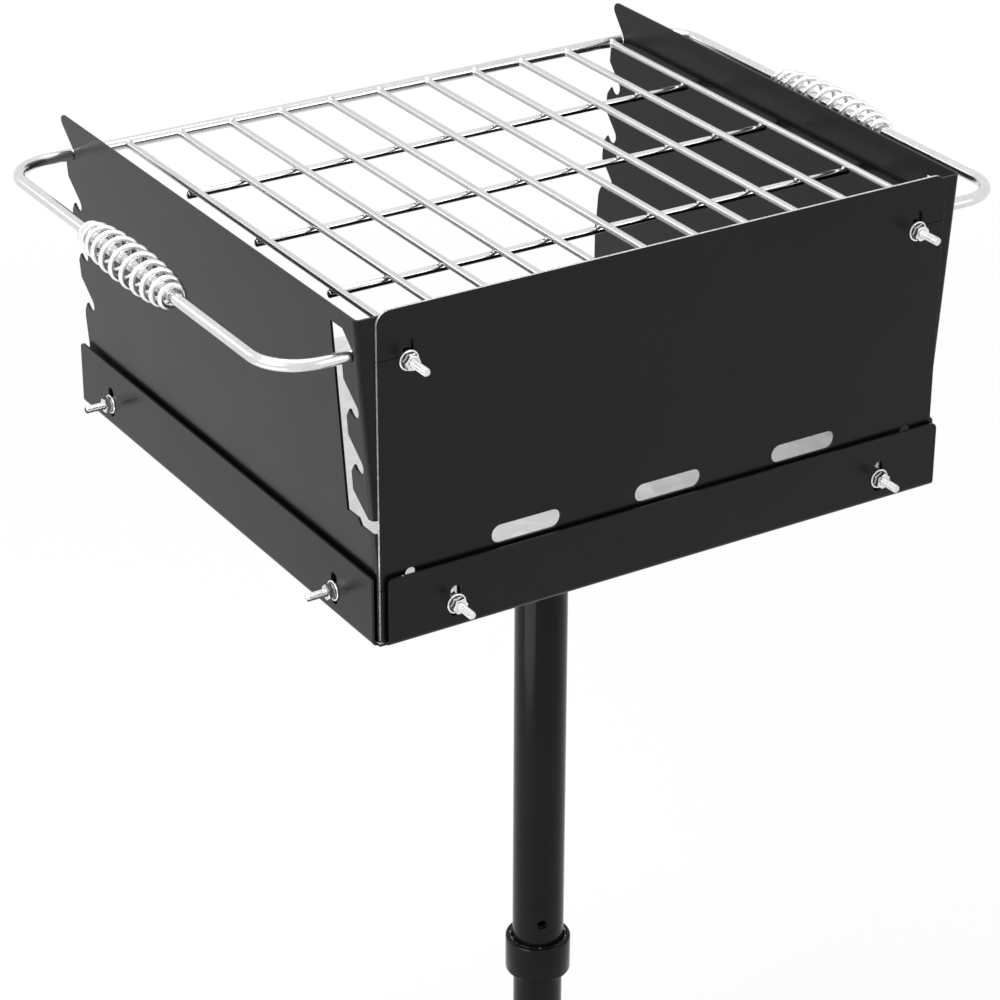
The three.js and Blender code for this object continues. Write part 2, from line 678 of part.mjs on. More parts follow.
function gripGeometry() {
  const stations = gripStations();
  const positions = [];
  const indices = [];
  stations.forEach((station, index) => {
    const before = stations[Math.max(0, index - 1)];
    const after = stations[Math.min(stations.length - 1, index + 1)];
    const heading = after.clone().sub(before).normalize();
    const outward = new THREE.Vector3(station.x, 0, station.z).normalize();
    outward.addScaledVector(heading, -outward.dot(heading)).normalize();
    const sideways = heading.clone().cross(outward);
    for (let corner = 0; corner < wireSides; corner += 1) {
      const angle = 2 * Math.PI * corner / wireSides;
      const point = station.clone()
        .addScaledVector(outward, wireDiameter / 2 * Math.cos(angle))
        .addScaledVector(sideways, wireDiameter / 2 * Math.sin(angle));
      positions.push(point.x, point.y, point.z);
    }
  });
  for (let ring = 0; ring + 1 < stations.length; ring += 1) {
    for (let corner = 0; corner < wireSides; corner += 1) {
      const next = (corner + 1) % wireSides;
      const low = ring * wireSides;
      const high = low + wireSides;
      indices.push(low + corner, low + next, high + next, low + corner, high + next, high + corner);
    }
  }
  const lastRing = (stations.length - 1) * wireSides;
  for (let corner = 1; corner + 1 < wireSides; corner += 1) {
    indices.push(0, corner + 1, corner, lastRing, lastRing + corner, lastRing + corner + 1);
  }
  const geometry = new THREE.BufferGeometry();
  geometry.setAttribute('position', new THREE.Float32BufferAttribute(positions, 3));
  geometry.setIndex(indices);
  geometry.computeVertexNormals();
  return geometry;
}

// Least distance between the wire's surfaces on neighbouring curls
function gripSelfGap() {
  const stations = gripStations();
  let least = Infinity;
  for (let one = 0; one < stations.length; one += 1) {
    for (let other = one + curlSteps / 2; other < stations.length; other += 1) {
      least = Math.min(least, stations[one].distanceTo(stations[other]));
    }
  }
  return least - wireDiameter;
}

// Post and base
function postBoltPlaces() {
  const reach = postBoltSpacing / 2;
  return [[-reach, -reach], [reach, -reach], [reach, reach], [-reach, reach]];
}

function basePlateGeometry() {
  const half = baseSize / 2;
  const shape = roundedRectangle(-half, -half, half, half, baseCorner, baseCorner);
  const reach = half - anchorInset;
  for (const [x, y] of [[-reach, -reach], [reach, -reach], [reach, reach], [-reach, reach]]) {
    shape.holes.push(new THREE.Path().absarc(x, y, anchorHole / 2, 0, 2 * Math.PI, true));
  }
  return alongZ(shape, 0, baseThickness);
}

function postFlangeGeometry() {
  const half = flangeSize / 2;
  const shape = roundedRectangle(-half, -half, half, half, flangeCorner, flangeCorner);
  for (const [x, y] of postBoltPlaces()) {
    shape.holes.push(new THREE.Path().absarc(x, y, postBoltDiameter / 2 + fitGap, 0, 2 * Math.PI, true));
  }
  return alongZ(shape, trayHeight - flangeThickness, trayHeight);
}

const collarTop = collarUnderside + collarHeight;
const postJoint = collarTop - collarGrip;

function collarGeometry() {
  const outer = collarDiameter / 2;
  const lowerBore = lowerDiameter / 2 + fitGap;
  const upperBore = postDiameter / 2 + fitGap;
  return turned([
    [lowerBore, collarUnderside],
    [outer - collarEdge, collarUnderside],
    [outer, collarUnderside + collarEdge],
    [outer, collarTop - collarEdge],
    [outer - collarEdge, collarTop],
    [upperBore + collarRecess, collarTop],
    [upperBore, collarTop - collarRecess],
    [upperBore, postJoint],
    [lowerBore, postJoint],
    [lowerBore, collarUnderside],
  ], tubeSides);
}

// A tube with a pin hole in one side
function drilledTube(outerRadius, innerRadius, bottom, top) {
  const wall = solidOf(tube(outerRadius, innerRadius, bottom, top, tubeSides));
  const drill = alongX(circleOutline(0, collarTop + pinHoleRise, pinHole / 2), 0, outerRadius + overrun);
  return geometryOf(wall.subtract(solidOf(drill.rotateZ(THREE.MathUtils.degToRad(pinHoleAngle)))));
}

const upperPostGeometry = () => drilledTube(
  postDiameter / 2, postDiameter / 2 - postWall, postJoint, trayHeight - flangeThickness);
const lowerPostGeometry = () => tube(
  lowerDiameter / 2, lowerDiameter / 2 - postWall, baseThickness, postJoint, tubeSides);

function spigotGeometry() {
  const outer = lowerDiameter / 2 - postWall - fitGap;
  return drilledTube(outer, outer - spigotWall, postJoint - spigotDown, postJoint + spigotUp);
}

// Assembly
function named(name, geometry, material) {
  const mesh = new THREE.Mesh(geometry, material);
  mesh.name = name;
  return mesh;
}

function pedestal() {
  const group = new THREE.Group();
  group.add(
    named('base_plate', basePlateGeometry(), finishes.postBlack),
    named('lower_post', lowerPostGeometry(), finishes.postBlack),
    named('spigot_tube', spigotGeometry(), finishes.hidden),
    named('swivel_collar', collarGeometry(), finishes.postBlack),
    named('upper_post', upperPostGeometry(), finishes.postBlack),
    named('post_flange', postFlangeGeometry(), finishes.postBlack),
  );
  return group;
}

function fireBox() {
  const group = new THREE.Group();
  group.add(
    named('tray', trayGeometry(), finishes.sheetBlack),
    named('left_wall', wallGeometry(-1), finishes.sheetBlack),
    named('right_wall', wallGeometry(1), finishes.sheetBlack),
    named('rear_panel', rearPanelGeometry(), finishes.sheetBlack),
  );
  return group;
}

// Bolt head inside, washer and nut outside; the group's +Z points out of the fire box
function fastenerSet(name, headSeat, washerSeat, outward) {
  const group = new THREE.Group();
  group.quaternion.setFromUnitVectors(new THREE.Vector3(0, 0, 1), outward);
  group.position.copy(headSeat);
  const bolt = named(`${name}_bolt`, boltGeometry(boltDiameter, boltLength, headAcross, headHeight), finishes.zinc);
  const washer = named(`${name}_washer`, washerGeometry(), finishes.zinc);
  const nut = named(`${name}_nut`, nutGeometry(boltDiameter, headAcross, nutHeight), finishes.zinc);
  washer.position.z = washerSeat;
  nut.position.z = washerSeat + washerThickness;
  group.add(bolt, washer, nut);
  return group;
}

function boxFasteners() {
  const group = new THREE.Group();
  const rearward = new THREE.Vector3(0, 1, 0);
  const skirtBoltZ = skirtSlotRise - skirtBoltDrop;
  [['left', -1], ['right', 1]].forEach(([hand, side], index) => {
    const outward = new THREE.Vector3(side, 0, 0);
    const upper = new THREE.Vector3(side * cornerSlotX, flangeFaceY - sheet, upperSlotZ - boltDrop);
    group.add(fastenerSet(`rear_upper_${hand}`, upper, 2 * sheet, rearward));
    const lower = new THREE.Vector3(rearSlotPlaces[index], -sheet, skirtBoltZ);
    group.add(fastenerSet(`rear_lower_${hand}`, lower, sheet + rearSkirtOuter, rearward));
    ['front', 'rear'].forEach((end, place) => {
      const seat = new THREE.Vector3(side * (wallFoot - sheet), sideSlotPlaces[place], skirtBoltZ);
      group.add(fastenerSet(`${hand}_${end}`, seat, skirtOuter - wallFoot + sheet, outward));
    });
  });
  return group;
}

function postFasteners() {
  const group = new THREE.Group();
  postBoltPlaces().forEach(([x, y], index) => {
    const set = new THREE.Group();
    set.rotation.x = Math.PI;
    set.position.set(x, y, trayHeight + sheet);
    const bolt = boltGeometry(postBoltDiameter, postBoltLength, postHeadAcross, postHeadHeight);
    const nut = named(`post_nut_${index + 1}`, nutGeometry(postBoltDiameter, postHeadAcross, postNutHeight),
      finishes.zinc);
    nut.position.z = sheet + flangeThickness;
    set.add(named(`post_bolt_${index + 1}`, bolt, finishes.zinc), nut);
    group.add(set);
  });
  return group;
}

function grate() {
  const group = new THREE.Group();
  group.position.set(0, seatMidY, topSeatZ);
  group.add(named('grate_loop', grateLoopGeometry(), finishes.stainless));
  for (let index = 0; index < barCount; index += 1) {
    const bar = named(`grate_bar_${String(index + 1).padStart(2, '0')}`, barGeometry(), finishes.stainless);
    bar.position.x = gridShift - gridHalf + 2 * gridHalf * index / (barCount - 1);
    group.add(bar);
  }
  for (let index = 0; index < crossCount; index += 1) {
    const cross = named(`cross_rod_${index + 1}`, crossGeometry(), finishes.stainless);
    const y = seatSpan * ((index + 1) / (crossCount + 1) - 0.5);
    cross.position.set(gridShift, y, -(barDiameter + crossDiameter) / 2 - fitGap);
    group.add(cross);
  }
  [['left', -1], ['right', 1]].forEach(([hand, side]) => {
    const grip = named(`${hand}_grip_coil`, gripGeometry(), finishes.stainless);
    grip.position.set(side * legX, gripShift, 0);
    group.add(grip);
  });
  return group;
}

const group = new THREE.Group();
const head = new THREE.Group();
head.position.set(0, panelSetback, trayHeight);
head.add(fireBox(), boxFasteners(), grate());
group.add(pedestal(), postFasteners(), head);

console.log(`coil grip: least gap between curls ${gripSelfGap().toFixed(2)} mm`);
console.log(`grate slides ${grateTravel} mm at ${hookAngle} degrees, seats at ${trayHeight + topSeatZ} mm`);

export default group;
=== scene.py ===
"""Park barbecue grill on a pedestal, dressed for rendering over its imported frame."""
import json
import math

import bmesh
import bpy
from mathutils import Matrix, Vector, noise
from mathutils.bvhtree import BVHTree

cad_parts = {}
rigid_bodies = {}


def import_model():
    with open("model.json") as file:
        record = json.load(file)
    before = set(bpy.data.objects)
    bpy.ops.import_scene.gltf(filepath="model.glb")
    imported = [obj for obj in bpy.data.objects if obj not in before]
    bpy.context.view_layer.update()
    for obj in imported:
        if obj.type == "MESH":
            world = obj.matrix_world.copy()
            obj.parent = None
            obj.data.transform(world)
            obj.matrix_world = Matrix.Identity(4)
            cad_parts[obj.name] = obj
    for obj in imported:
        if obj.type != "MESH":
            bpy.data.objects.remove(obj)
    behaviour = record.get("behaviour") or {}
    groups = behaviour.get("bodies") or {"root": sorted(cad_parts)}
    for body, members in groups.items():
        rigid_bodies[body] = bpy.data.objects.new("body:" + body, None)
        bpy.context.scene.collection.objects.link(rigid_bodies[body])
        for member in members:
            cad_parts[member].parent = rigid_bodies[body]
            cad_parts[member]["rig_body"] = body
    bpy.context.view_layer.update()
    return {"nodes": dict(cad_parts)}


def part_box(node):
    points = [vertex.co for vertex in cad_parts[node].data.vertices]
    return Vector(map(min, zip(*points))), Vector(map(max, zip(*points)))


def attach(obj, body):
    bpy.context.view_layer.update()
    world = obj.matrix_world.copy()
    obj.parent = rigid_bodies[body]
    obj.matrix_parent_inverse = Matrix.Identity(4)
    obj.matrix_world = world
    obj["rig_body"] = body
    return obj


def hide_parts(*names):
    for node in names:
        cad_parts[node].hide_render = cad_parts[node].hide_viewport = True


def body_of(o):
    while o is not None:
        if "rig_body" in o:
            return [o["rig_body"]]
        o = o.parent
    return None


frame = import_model()

# Unit, directions, tolerances and the gap between pieces that fit
MM = 0.001
BORE_GAP = 0.3 * MM
X_AXIS = Vector((1, 0, 0))
Y_AXIS = Vector((0, 1, 0))
Z_AXIS = Vector((0, 0, 1))
ALONG_X, ALONG_Y, ALONG_Z = range(3)
WELD_DISTANCE = 0.001 * MM
RAY_INSET = 5 * WELD_DISTANCE
LEVEL_TOLERANCE = 50 * WELD_DISTANCE
UPWARD_NORMAL = 0.99
FLAT_ANGLE = math.radians(0.5)
SHARP_ANGLE = math.radians(32)

# Sheets and plates
SHEET = 2 * MM
THICKNESS_LIMIT = 2.7 * MM
EDGE_BEVEL = 0.3 * MM
PLATE_BEVEL = 0.5 * MM
BEVEL_STEPS = 2
PANEL_CORNER = 11 * MM
RIM_REACH = 0.35 * MM

# Grate
ROD_RADIUS = 4.75 * MM
BAR_RADIUS = 3 * MM
GRATE_CENTRE = Vector((0, -65.5, 997.5)) * MM
GRATE_HALF_X = 322 * MM
GRATE_HALF_Y = 225 * MM
LOOP_CORNER = 36 * MM
LOOP_CORNER_STEPS = 28
LOOP_SIDE_STEPS = 24
ROD_SIDES = 36
BAR_SIDES = 24
BAR_COUNT = 11
CROSS_COUNT = 3
SPAN_SHARES = (-0.75, -0.5, -0.25, 0, 0.25, 0.5, 0.75)
BAR_SINK = 0.45 * ROD_RADIUS
FILLET_REACH = 3.4 * MM
FILLET_SWELL = 1.25 * MM
FILLET_STEPS = 7
FILLET_LUMP = 0.35 * MM
FILLET_NOISE_SCALE = 420
NUGGET_RADIUS = 2.5 * MM
NUGGET_HEIGHT = 2.3 * MM
NUGGET_STEPS = 8
NUGGET_SIDES = 16
NUGGET_LUMP = 0.25 * MM
NUGGET_NOISE_SCALE = 500
NUGGET_LIFT = BORE_GAP / 2
CROSS_END_EASE = 0.7 * MM
CROSS_END_SHARE = 0.3

# Coil grips
WIRE_RADIUS = 2.25 * MM
WIRE_SIDES = 16
WIRE_END_STEPS = 5
WIRE_TIP_SHARES = (0.72, 0.93)
GRIP_LENGTH = 146 * MM
GRIP_TURNS = 10.5
GRIP_END_RADIUS = 7.44 * MM
GRIP_MID_RADIUS = 14.6 * MM
GRIP_END_SPACING = 9.5 * MM
GRIP_SHIFT = 1 * MM
BARREL_POWER = 0.75
CURL_STEPS = 28

# Fasteners: a diameter, a hexagon's width across its flats, heights, thread pitch and length
BOX_HARDWARE = {
    "diameter": 6.35 * MM, "across": 11.1 * MM, "head": 4.1 * MM, "nut": 5.6 * MM,
    "pitch": 1.27 * MM, "length": 34.1 * MM,
}
POST_HARDWARE = {
    "diameter": 7.9 * MM, "across": 12.7 * MM, "head": 5.3 * MM, "nut": 6.7 * MM,
    "pitch": 1.41 * MM, "length": 25.3 * MM,
}
WASHER_OUTER = 7.95 * MM
WASHER_INNER = 3.5 * MM
WASHER_THICKNESS = 1.65 * MM
WASHER_EASE = 0.25 * MM
WASHER_RIM = 1.1 * MM
WASHER_SIDES = 48
NUT_BORE_GAP = 0.35 * MM
NUT_BITE = 0.1 * MM
NUT_LEAD = 0.45 * MM
HEX_SAMPLES = 60
HEX_FACE_SHARE = 0.97
HEX_CHAMFER_SLOPE = 0.5
THREAD_SIDES = 30
THREAD_SAMPLES = 8
THREAD_DEPTH_SHARE = 0.5
THREAD_FLANK_SLOPE = 3.2
THREAD_CREST_SHARE = 0.3
TIP_CHAMFER = 0.8 * MM
SHANK_SINK = 0.5 * MM

# Turns of the hexagons: a box bolt's against its nut's, and the degrees from each post bolt to the next
BOX_BOLT_TURNS = 2
POST_BOLTS = 4
POST_BOLT_TURN = 7
POST_NUT_TURN = 11

# Post and collar: the upper tube's rings of points stand closer together round its pin hole
POST_SIDES = 96
POST_RADIUS = 22 * MM
POST_WALL = 2 * MM
POST_EDGE = 0.3 * MM
LOWER_RADIUS = 21 * MM
UPPER_RISES = [rise * MM for rise in (14, 22, 27, 31.5, 40.5, 45, 50, 60)]
UPPER_LEVEL_SHARES = (0.3, 0.5, 0.7, 0.9)
LOWER_LEVEL_SHARES = (0.2, 0.4, 0.6, 0.8)
PIN_HOLE_RADIUS = 4.5 * MM
PIN_HOLE_RISE = 22 * MM
PIN_HOLE_ANGLE = math.radians(67)
PIN_HOLE_SIDES = 40
DRILL_START_SHARE = 0.4
COLLAR_RADIUS = 28 * MM
COLLAR_RIM = 2.5 * MM
COLLAR_RIM_STEPS = 6
COLLAR_RECESS = 3 * MM
COLLAR_LIP_OUT = 0.2 * MM
COLLAR_LIP_IN = 0.3 * MM
COLLAR_LIP_DROP = 0.25 * MM

# Weld beads round the post
COLLAR_BEAD = {
    "offset": 1.7 * MM, "inset": 1.6 * MM, "rise": 1.2 * MM, "thickness": 1.5 * MM, "ripples": 34,
}
TUBE_BEAD = {
    "offset": 1 * MM, "inset": 0.8 * MM, "rise": 2.2 * MM, "thickness": 2.4 * MM, "ripples": 40,
}
BEAD_SIDES = 12
RIPPLE_STEPS = 8
RIPPLE_SHARE = 0.1
BEAD_WANDER = 0.3 * MM
BEAD_NOISE_SCALE = 3

# Finishes: heights of the relief, and the edge of the painted shade on the undersides of the bars and
# cross rods
FINE_PEEL = 0.008 * MM
COARSE_PEEL = 0.015 * MM
PAINT_SAG = 0.1 * MM
LINE_RELIEF = 0.008 * MM
PLATED_RELIEF = 0.01 * MM
PLAIN_RELIEF = 0.03 * MM
WELD_RELIEF = 0.04 * MM
RIM_RELIEF = 0.05 * MM
SEAM_RELIEF = 0.12 * MM
UNDERSIDE_SHADE_BLEND = 0.25 * MM
UNDERSIDE_SHADE_LINE_SHARE = 0.1

# Finishes: grain per metre along each axis, the edge of a worn dash, and clouds against grain
EDGE_GRAIN = (70, 70, 160)
ROD_GRAIN = (160, 160, 160)
BAR_GRAIN = (500, 22, 500)
CROSS_GRAIN = (22, 500, 500)
COIL_GRAIN = (240, 240, 240)
PLATED_GRAIN = (300, 300, 300)
WORN_BAND = 0.03
CLOUD_DIVISOR = 9

# Finishes: shares of a tone or a roughness at the two ends of its grain
DUST_SHARES = (1.5, 2.2)
COAT_GLOSS_SHARES = (0.88, 1.15)
PAINT_SHARES = (0.7, 1.3)
BARE_SHARES = (0.75, 1)
EDGE_GLOSS_SHARES = (0.85, 1.2)
STAIN_DARK_SHARES = (0.86, 0.84, 0.81)
STAIN_LIGHT_SHARE = 0.9
UNDERSIDE_SHADE_SHARES = (0.7, 1)
STEEL_GLOSS_SHARES = (0.9, 1.2)
SHADED_DARK_SHARE = 0.75
SHADED_LIGHT_SHARE = 0.85
ROUGH_GLOSS_SHARES = (0.8, 1.25)

# Studio, in metres and watts
FLOOR_HALF = 14
FLOOR_GREY = 0.86
FLOOR_NEAR_SHARE = 0.8
FLOOR_NEAR = 0.5
FLOOR_FAR = 2.6
WORLD_FILL = 0.5
BOX_MIDDLE = (0, 0, 0.8)
POST_FOOT = (0, 0, 0.3)
PANEL_SPOT = (0.1, 0, 0.95)
LAMPS = [
    {"name": "key", "at": (3.4, 0.6, 2.6), "aim": BOX_MIDDLE, "size": (2.2, 2.2), "watts": 110},
    {"name": "fill", "at": (-1.6, 3.2, 2), "aim": BOX_MIDDLE, "size": (1.6, 1.6), "watts": 22},
    {"name": "top", "at": (0.2, -0.4, 3.6), "aim": BOX_MIDDLE, "size": (2, 2), "watts": 55},
    {"name": "low_strip", "at": (0.95, 0.15, 0.24), "aim": POST_FOOT, "size": (0.9, 0.44), "watts": 3.4},
    {"name": "front", "at": (2, -2.3, 2.2), "aim": PANEL_SPOT, "size": (1.1, 1.1), "watts": 6.5},
]

# Camera, fitted to the photographed corners: its place, the bearing and tilt of its view, and its roll
LENS = 119.8
SENSOR_WIDTH = 36
VIEW_END = 60
EYE_PLACE = Vector((1.289, 2.005, 1.968))
EYE_BEARING = math.radians(-121.9186)
EYE_TILT = math.radians(-27.1933)
EYE_ROLL = math.radians(0.2076)


# Mesh helpers
def mesh_of(name, points, faces):
    mesh = bpy.data.meshes.new(name)
    mesh.from_pydata([tuple(point) for point in points], [], faces)
    return mesh


def linked(name, data):
    """An object of this data, linked to the scene."""
    made = bpy.data.objects.new(name, data)
    bpy.context.scene.collection.objects.link(made)
    return made


def shaded(mesh):
    """Turns a mesh's faces outward and smooths all but its sharp edges."""
    work = bmesh.new()
    work.from_mesh(mesh)
    bmesh.ops.recalc_face_normals(work, faces=work.faces)
    work.to_mesh(mesh)
    work.free()
    mesh.shade_smooth()
    mesh.set_sharp_from_angle(angle=SHARP_ANGLE)
    return mesh


def piece_from(name, points, faces, materials, indices=None):
    """A shaded mesh object of these points and faces, linked to the scene."""
    mesh = mesh_of(name, points, faces)
    for material in materials:
        mesh.materials.append(material)
    if indices:
        mesh.polygons.foreach_set("material_index", indices)
    mesh.update()
    return linked(name, shaded(mesh))


def place(piece, body, slot, *nodes):
    """Lets a piece ride on its body and stand for its CAD nodes, which it hides; its slot is not used.
    """
    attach(piece, body)
    if nodes:
        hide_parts(*nodes)
    return piece


def repaint(piece, material, wanted):
    """Gives a further material to the faces of a piece that pass a test."""
    piece.data.materials.append(material)
    number = len(piece.data.materials) - 1
    for polygon in piece.data.polygons:
        if wanted(polygon):
            polygon.material_index = number


def skin(rings, closed=False, offset=0):
    """Faces over rings of equally many points, capped at both ends unless closed."""
    count = len(rings[0])
    total = len(rings)
    faces = []
    for row in range(total if closed else total - 1):
        low = offset + row * count
        high = offset + (row + 1) % total * count
        for column in range(count):
            after = (column + 1) % count
            faces.append((low + column, low + after, high + after, high + column))
    if not closed:
        faces.append(tuple(offset + index for index in reversed(range(count))))
        faces.append(tuple(offset + index for index in range((total - 1) * count, total * count)))
    return faces


def ring_at(centre, first, second, radius, sides):
    """Points of a circle round a centre, in the plane of two unit vectors."""
    points = []
    for side in range(sides):
        angle = 2 * math.pi * side / sides
        points.append(centre + (first * math.cos(angle) + second * math.sin(angle)) * radius)
    return points


def flattened(rings):
    return [point for ring in rings for point in ring]


def revolved(section, sides):
    """Points and faces of a closed half section, as (radius, height) pairs, turned about Z."""
    rings = []
    for side in range(sides):
        angle = 2 * math.pi * side / sides
        rings.append([
            Vector((radius * math.cos(angle), radius * math.sin(angle), height))
            for radius, height in section
        ])
    return flattened(rings), skin(rings, closed=True)


def arc_points(centre, radius, start, end, steps):
    """Points of an arc in a half section, between two angles in degrees."""
    points = []
    for step in range(steps + 1):
        angle = math.radians(start + (end - start) * step / steps)
        points.append((centre[0] + radius * math.cos(angle), centre[1] + radius * math.sin(angle)))
    return points


def middle_height(node):
    low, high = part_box(node)
    return (low.z + high.z) / 2


# Shader helpers
def new_material(name, metallic, specular):
    """A material with its nodes cleared, and its tree, shader and texture coordinates."""
    made = bpy.data.materials.new(name)
    made.use_nodes = True
    tree = made.node_tree
    tree.nodes.clear()
    output = tree.nodes.new("ShaderNodeOutputMaterial")
    shader = tree.nodes.new("ShaderNodeBsdfPrincipled")
    tree.links.new(shader.outputs["BSDF"], output.inputs["Surface"])
    shader.inputs["Metallic"].default_value = metallic
    shader.inputs["Specular IOR Level"].default_value = specular
    coordinates = tree.nodes.new("ShaderNodeTexCoord")
    return made, tree, shader, coordinates.outputs["Object"]


def stretched(tree, source, scale):
    mapping = tree.nodes.new("ShaderNodeMapping")
    mapping.inputs["Scale"].default_value = scale
    tree.links.new(source, mapping.inputs["Vector"])
    return mapping.outputs["Vector"]


def noise_of(tree, source, scale, detail=3, roughness=0.55):
    texture = tree.nodes.new("ShaderNodeTexNoise")
    texture.inputs["Scale"].default_value = scale
    texture.inputs["Detail"].default_value = detail
    texture.inputs["Roughness"].default_value = roughness
    tree.links.new(source, texture.inputs["Vector"])
    return texture.outputs["Fac"]


def ramp(tree, source, first, second, start=0.3, end=0.7):
    """A blend from one colour to another between two levels of its source."""
    node = tree.nodes.new("ShaderNodeValToRGB")
    stops = [(start, first), (end, second)]
    for element, (position, colour) in zip(node.color_ramp.elements, stops):
        element.position = position
        element.color = (*colour, 1)
    tree.links.new(source, node.inputs["Fac"])
    return node.outputs["Color"]


def grey(value):
    return (value, value, value)


def fade(tree, source, first, second, start=0.3, end=0.7):
    """A ramp from one grey to another."""
    return ramp(tree, source, grey(first), grey(second), start, end)


def spread(value, shares):
    return [value * share for share in shares]


def ranged(tree, source, low, high, from_low=0.3, from_high=0.7):
    node = tree.nodes.new("ShaderNodeMapRange")
    node.inputs["From Min"].default_value = from_low
    node.inputs["From Max"].default_value = from_high
    node.inputs["To Min"].default_value = low
    node.inputs["To Max"].default_value = high
    tree.links.new(source, node.inputs["Value"])
    return node.outputs["Result"]


def mixed(tree, factor, first, second):
    """A mix of two colours, whose sockets share their names with the node's other kinds."""
    node = tree.nodes.new("ShaderNodeMix")
    node.data_type = "RGBA"
    first_socket, second_socket = [socket for socket in node.inputs if socket.type == "RGBA"]
    result, = [socket for socket in node.outputs if socket.type == "RGBA"]
    tree.links.new(factor, node.inputs["Factor"])
    tree.links.new(first, first_socket)
    tree.links.new(second, second_socket)
    return result


def bumped(tree, shader, height, distance, strength, below=None):
    """Relief from a height, laid over another relief if one is given."""
    node = tree.nodes.new("ShaderNodeBump")
    node.inputs["Strength"].default_value = strength
    node.inputs["Distance"].default_value = distance
    tree.links.new(height, node.inputs["Height"])
    if below is not None:
        tree.links.new(below, node.inputs["Normal"])
    tree.links.new(node.outputs["Normal"], shader.inputs["Normal"])
    return node.outputs["Normal"]


def glossed(tree, shader, source, roughness, shares):
    """Lets the roughness vary between two shares of its value."""
    tree.links.new(ranged(tree, source, *spread(roughness, shares)), shader.inputs["Roughness"])


def coat(name, dark, light, roughness, specular, peel):
    """Baked black paint: cloudy tone, uneven gloss, fine orange peel and faint dust."""
    made, tree, shader, position = new_material(name, metallic=0, specular=specular)
    clouds = noise_of(tree, position, scale=7, detail=4)
    specks = noise_of(tree, position, scale=420, detail=2)
    tone = fade(tree, clouds, dark, light)
    dusty = fade(tree, specks, 0, 1, start=0.7, end=0.85)
    dust_tone = fade(tree, clouds, *spread(light, DUST_SHARES), start=0, end=1)
    tree.links.new(mixed(tree, dusty, tone, dust_tone), shader.inputs["Base Color"])
    glossed(tree, shader, noise_of(tree, position, scale=23), roughness, COAT_GLOSS_SHARES)
    sags = noise_of(tree, position, scale=55, detail=2)
    waves = bumped(tree, shader, sags, PAINT_SAG, strength=0.3)
    pores = noise_of(tree, position, scale=620, detail=2)
    bumped(tree, shader, pores, peel, strength=0.6, below=waves)
    return made


def worn_coat(name, paint, metal, roughness, bare_from, along):
    """Paint over a cut edge: a little rougher, and worn through to steel in short dashes."""
    made, tree, shader, position = new_material(name, metallic=0, specular=0.25)
    stretch = stretched(tree, position, along)
    grain = noise_of(tree, position, scale=520)
    dashes = noise_of(tree, stretch, scale=1, roughness=0.6)
    painted = fade(tree, grain, *spread(paint, PAINT_SHARES))
    bare = fade(tree, grain, *spread(metal, BARE_SHARES))
    worn = fade(tree, dashes, 0, 1, start=bare_from, end=bare_from + WORN_BAND)
    tree.links.new(mixed(tree, worn, painted, bare), shader.inputs["Base Color"])
    glossed(tree, shader, grain, roughness, EDGE_GLOSS_SHARES)
    bumped(tree, shader, grain, PLAIN_RELIEF, strength=0.5)
    return made


def steel(name, dark, light, roughness, along, underside_shade=0, below=None):
    """Drawn steel: lines along the axis of least grain, faint stains, and painted shade below a height.
    """
    made, tree, shader, position = new_material(name, metallic=1, specular=0.5)
    lines = noise_of(tree, stretched(tree, position, along), scale=1, roughness=0.7)
    stains = noise_of(tree, position, scale=30, detail=4)
    tone = fade(tree, lines, dark, light, start=0.25, end=0.75)
    brown = spread(dark, STAIN_DARK_SHARES)
    stained = ramp(tree, lines, brown, grey(light * STAIN_LIGHT_SHARE), start=0.25, end=0.75)
    patches = fade(tree, stains, 0, 0.7, start=0.58, end=0.76)
    colour = mixed(tree, patches, tone, stained)
    # Painted shade: below this height the colour turns dark grey, standing in for the shade and dark
    # reflections under the rods
    if below is not None:
        height = tree.nodes.new("ShaderNodeSeparateXYZ")
        tree.links.new(position, height.inputs["Vector"])
        painted_underside = fade(tree, lines, *spread(underside_shade, UNDERSIDE_SHADE_SHARES), start=0.25, end=0.75)
        above = ranged(tree, height.outputs["Z"], 0, 1, below - UNDERSIDE_SHADE_BLEND, below + UNDERSIDE_SHADE_BLEND)
        colour = mixed(tree, above, painted_underside, colour)
    tree.links.new(colour, shader.inputs["Base Color"])
    glossed(tree, shader, stains, roughness, STEEL_GLOSS_SHARES)
    bumped(tree, shader, lines, LINE_RELIEF, strength=0.4)
    return made


def rough_steel(name, dark, light, roughness, scale, relief, metallic=1):
    """Cut, plated or welded metal with grain of one size in every direction."""
    made, tree, shader, position = new_material(name, metallic, specular=0.5)
    grain = noise_of(tree, position, scale, detail=4, roughness=0.65)
    clouds = noise_of(tree, position, scale / CLOUD_DIVISOR)
    tone = fade(tree, grain, dark, light)
    shade = fade(tree, grain, dark * SHADED_DARK_SHARE, light * SHADED_LIGHT_SHARE)
    patches = fade(tree, clouds, 0, 1, start=0.45, end=0.65)
    tree.links.new(mixed(tree, patches, tone, shade), shader.inputs["Base Color"])
    glossed(tree, shader, grain, roughness, ROUGH_GLOSS_SHARES)
    bumped(tree, shader, grain, relief, strength=0.6)
    return made


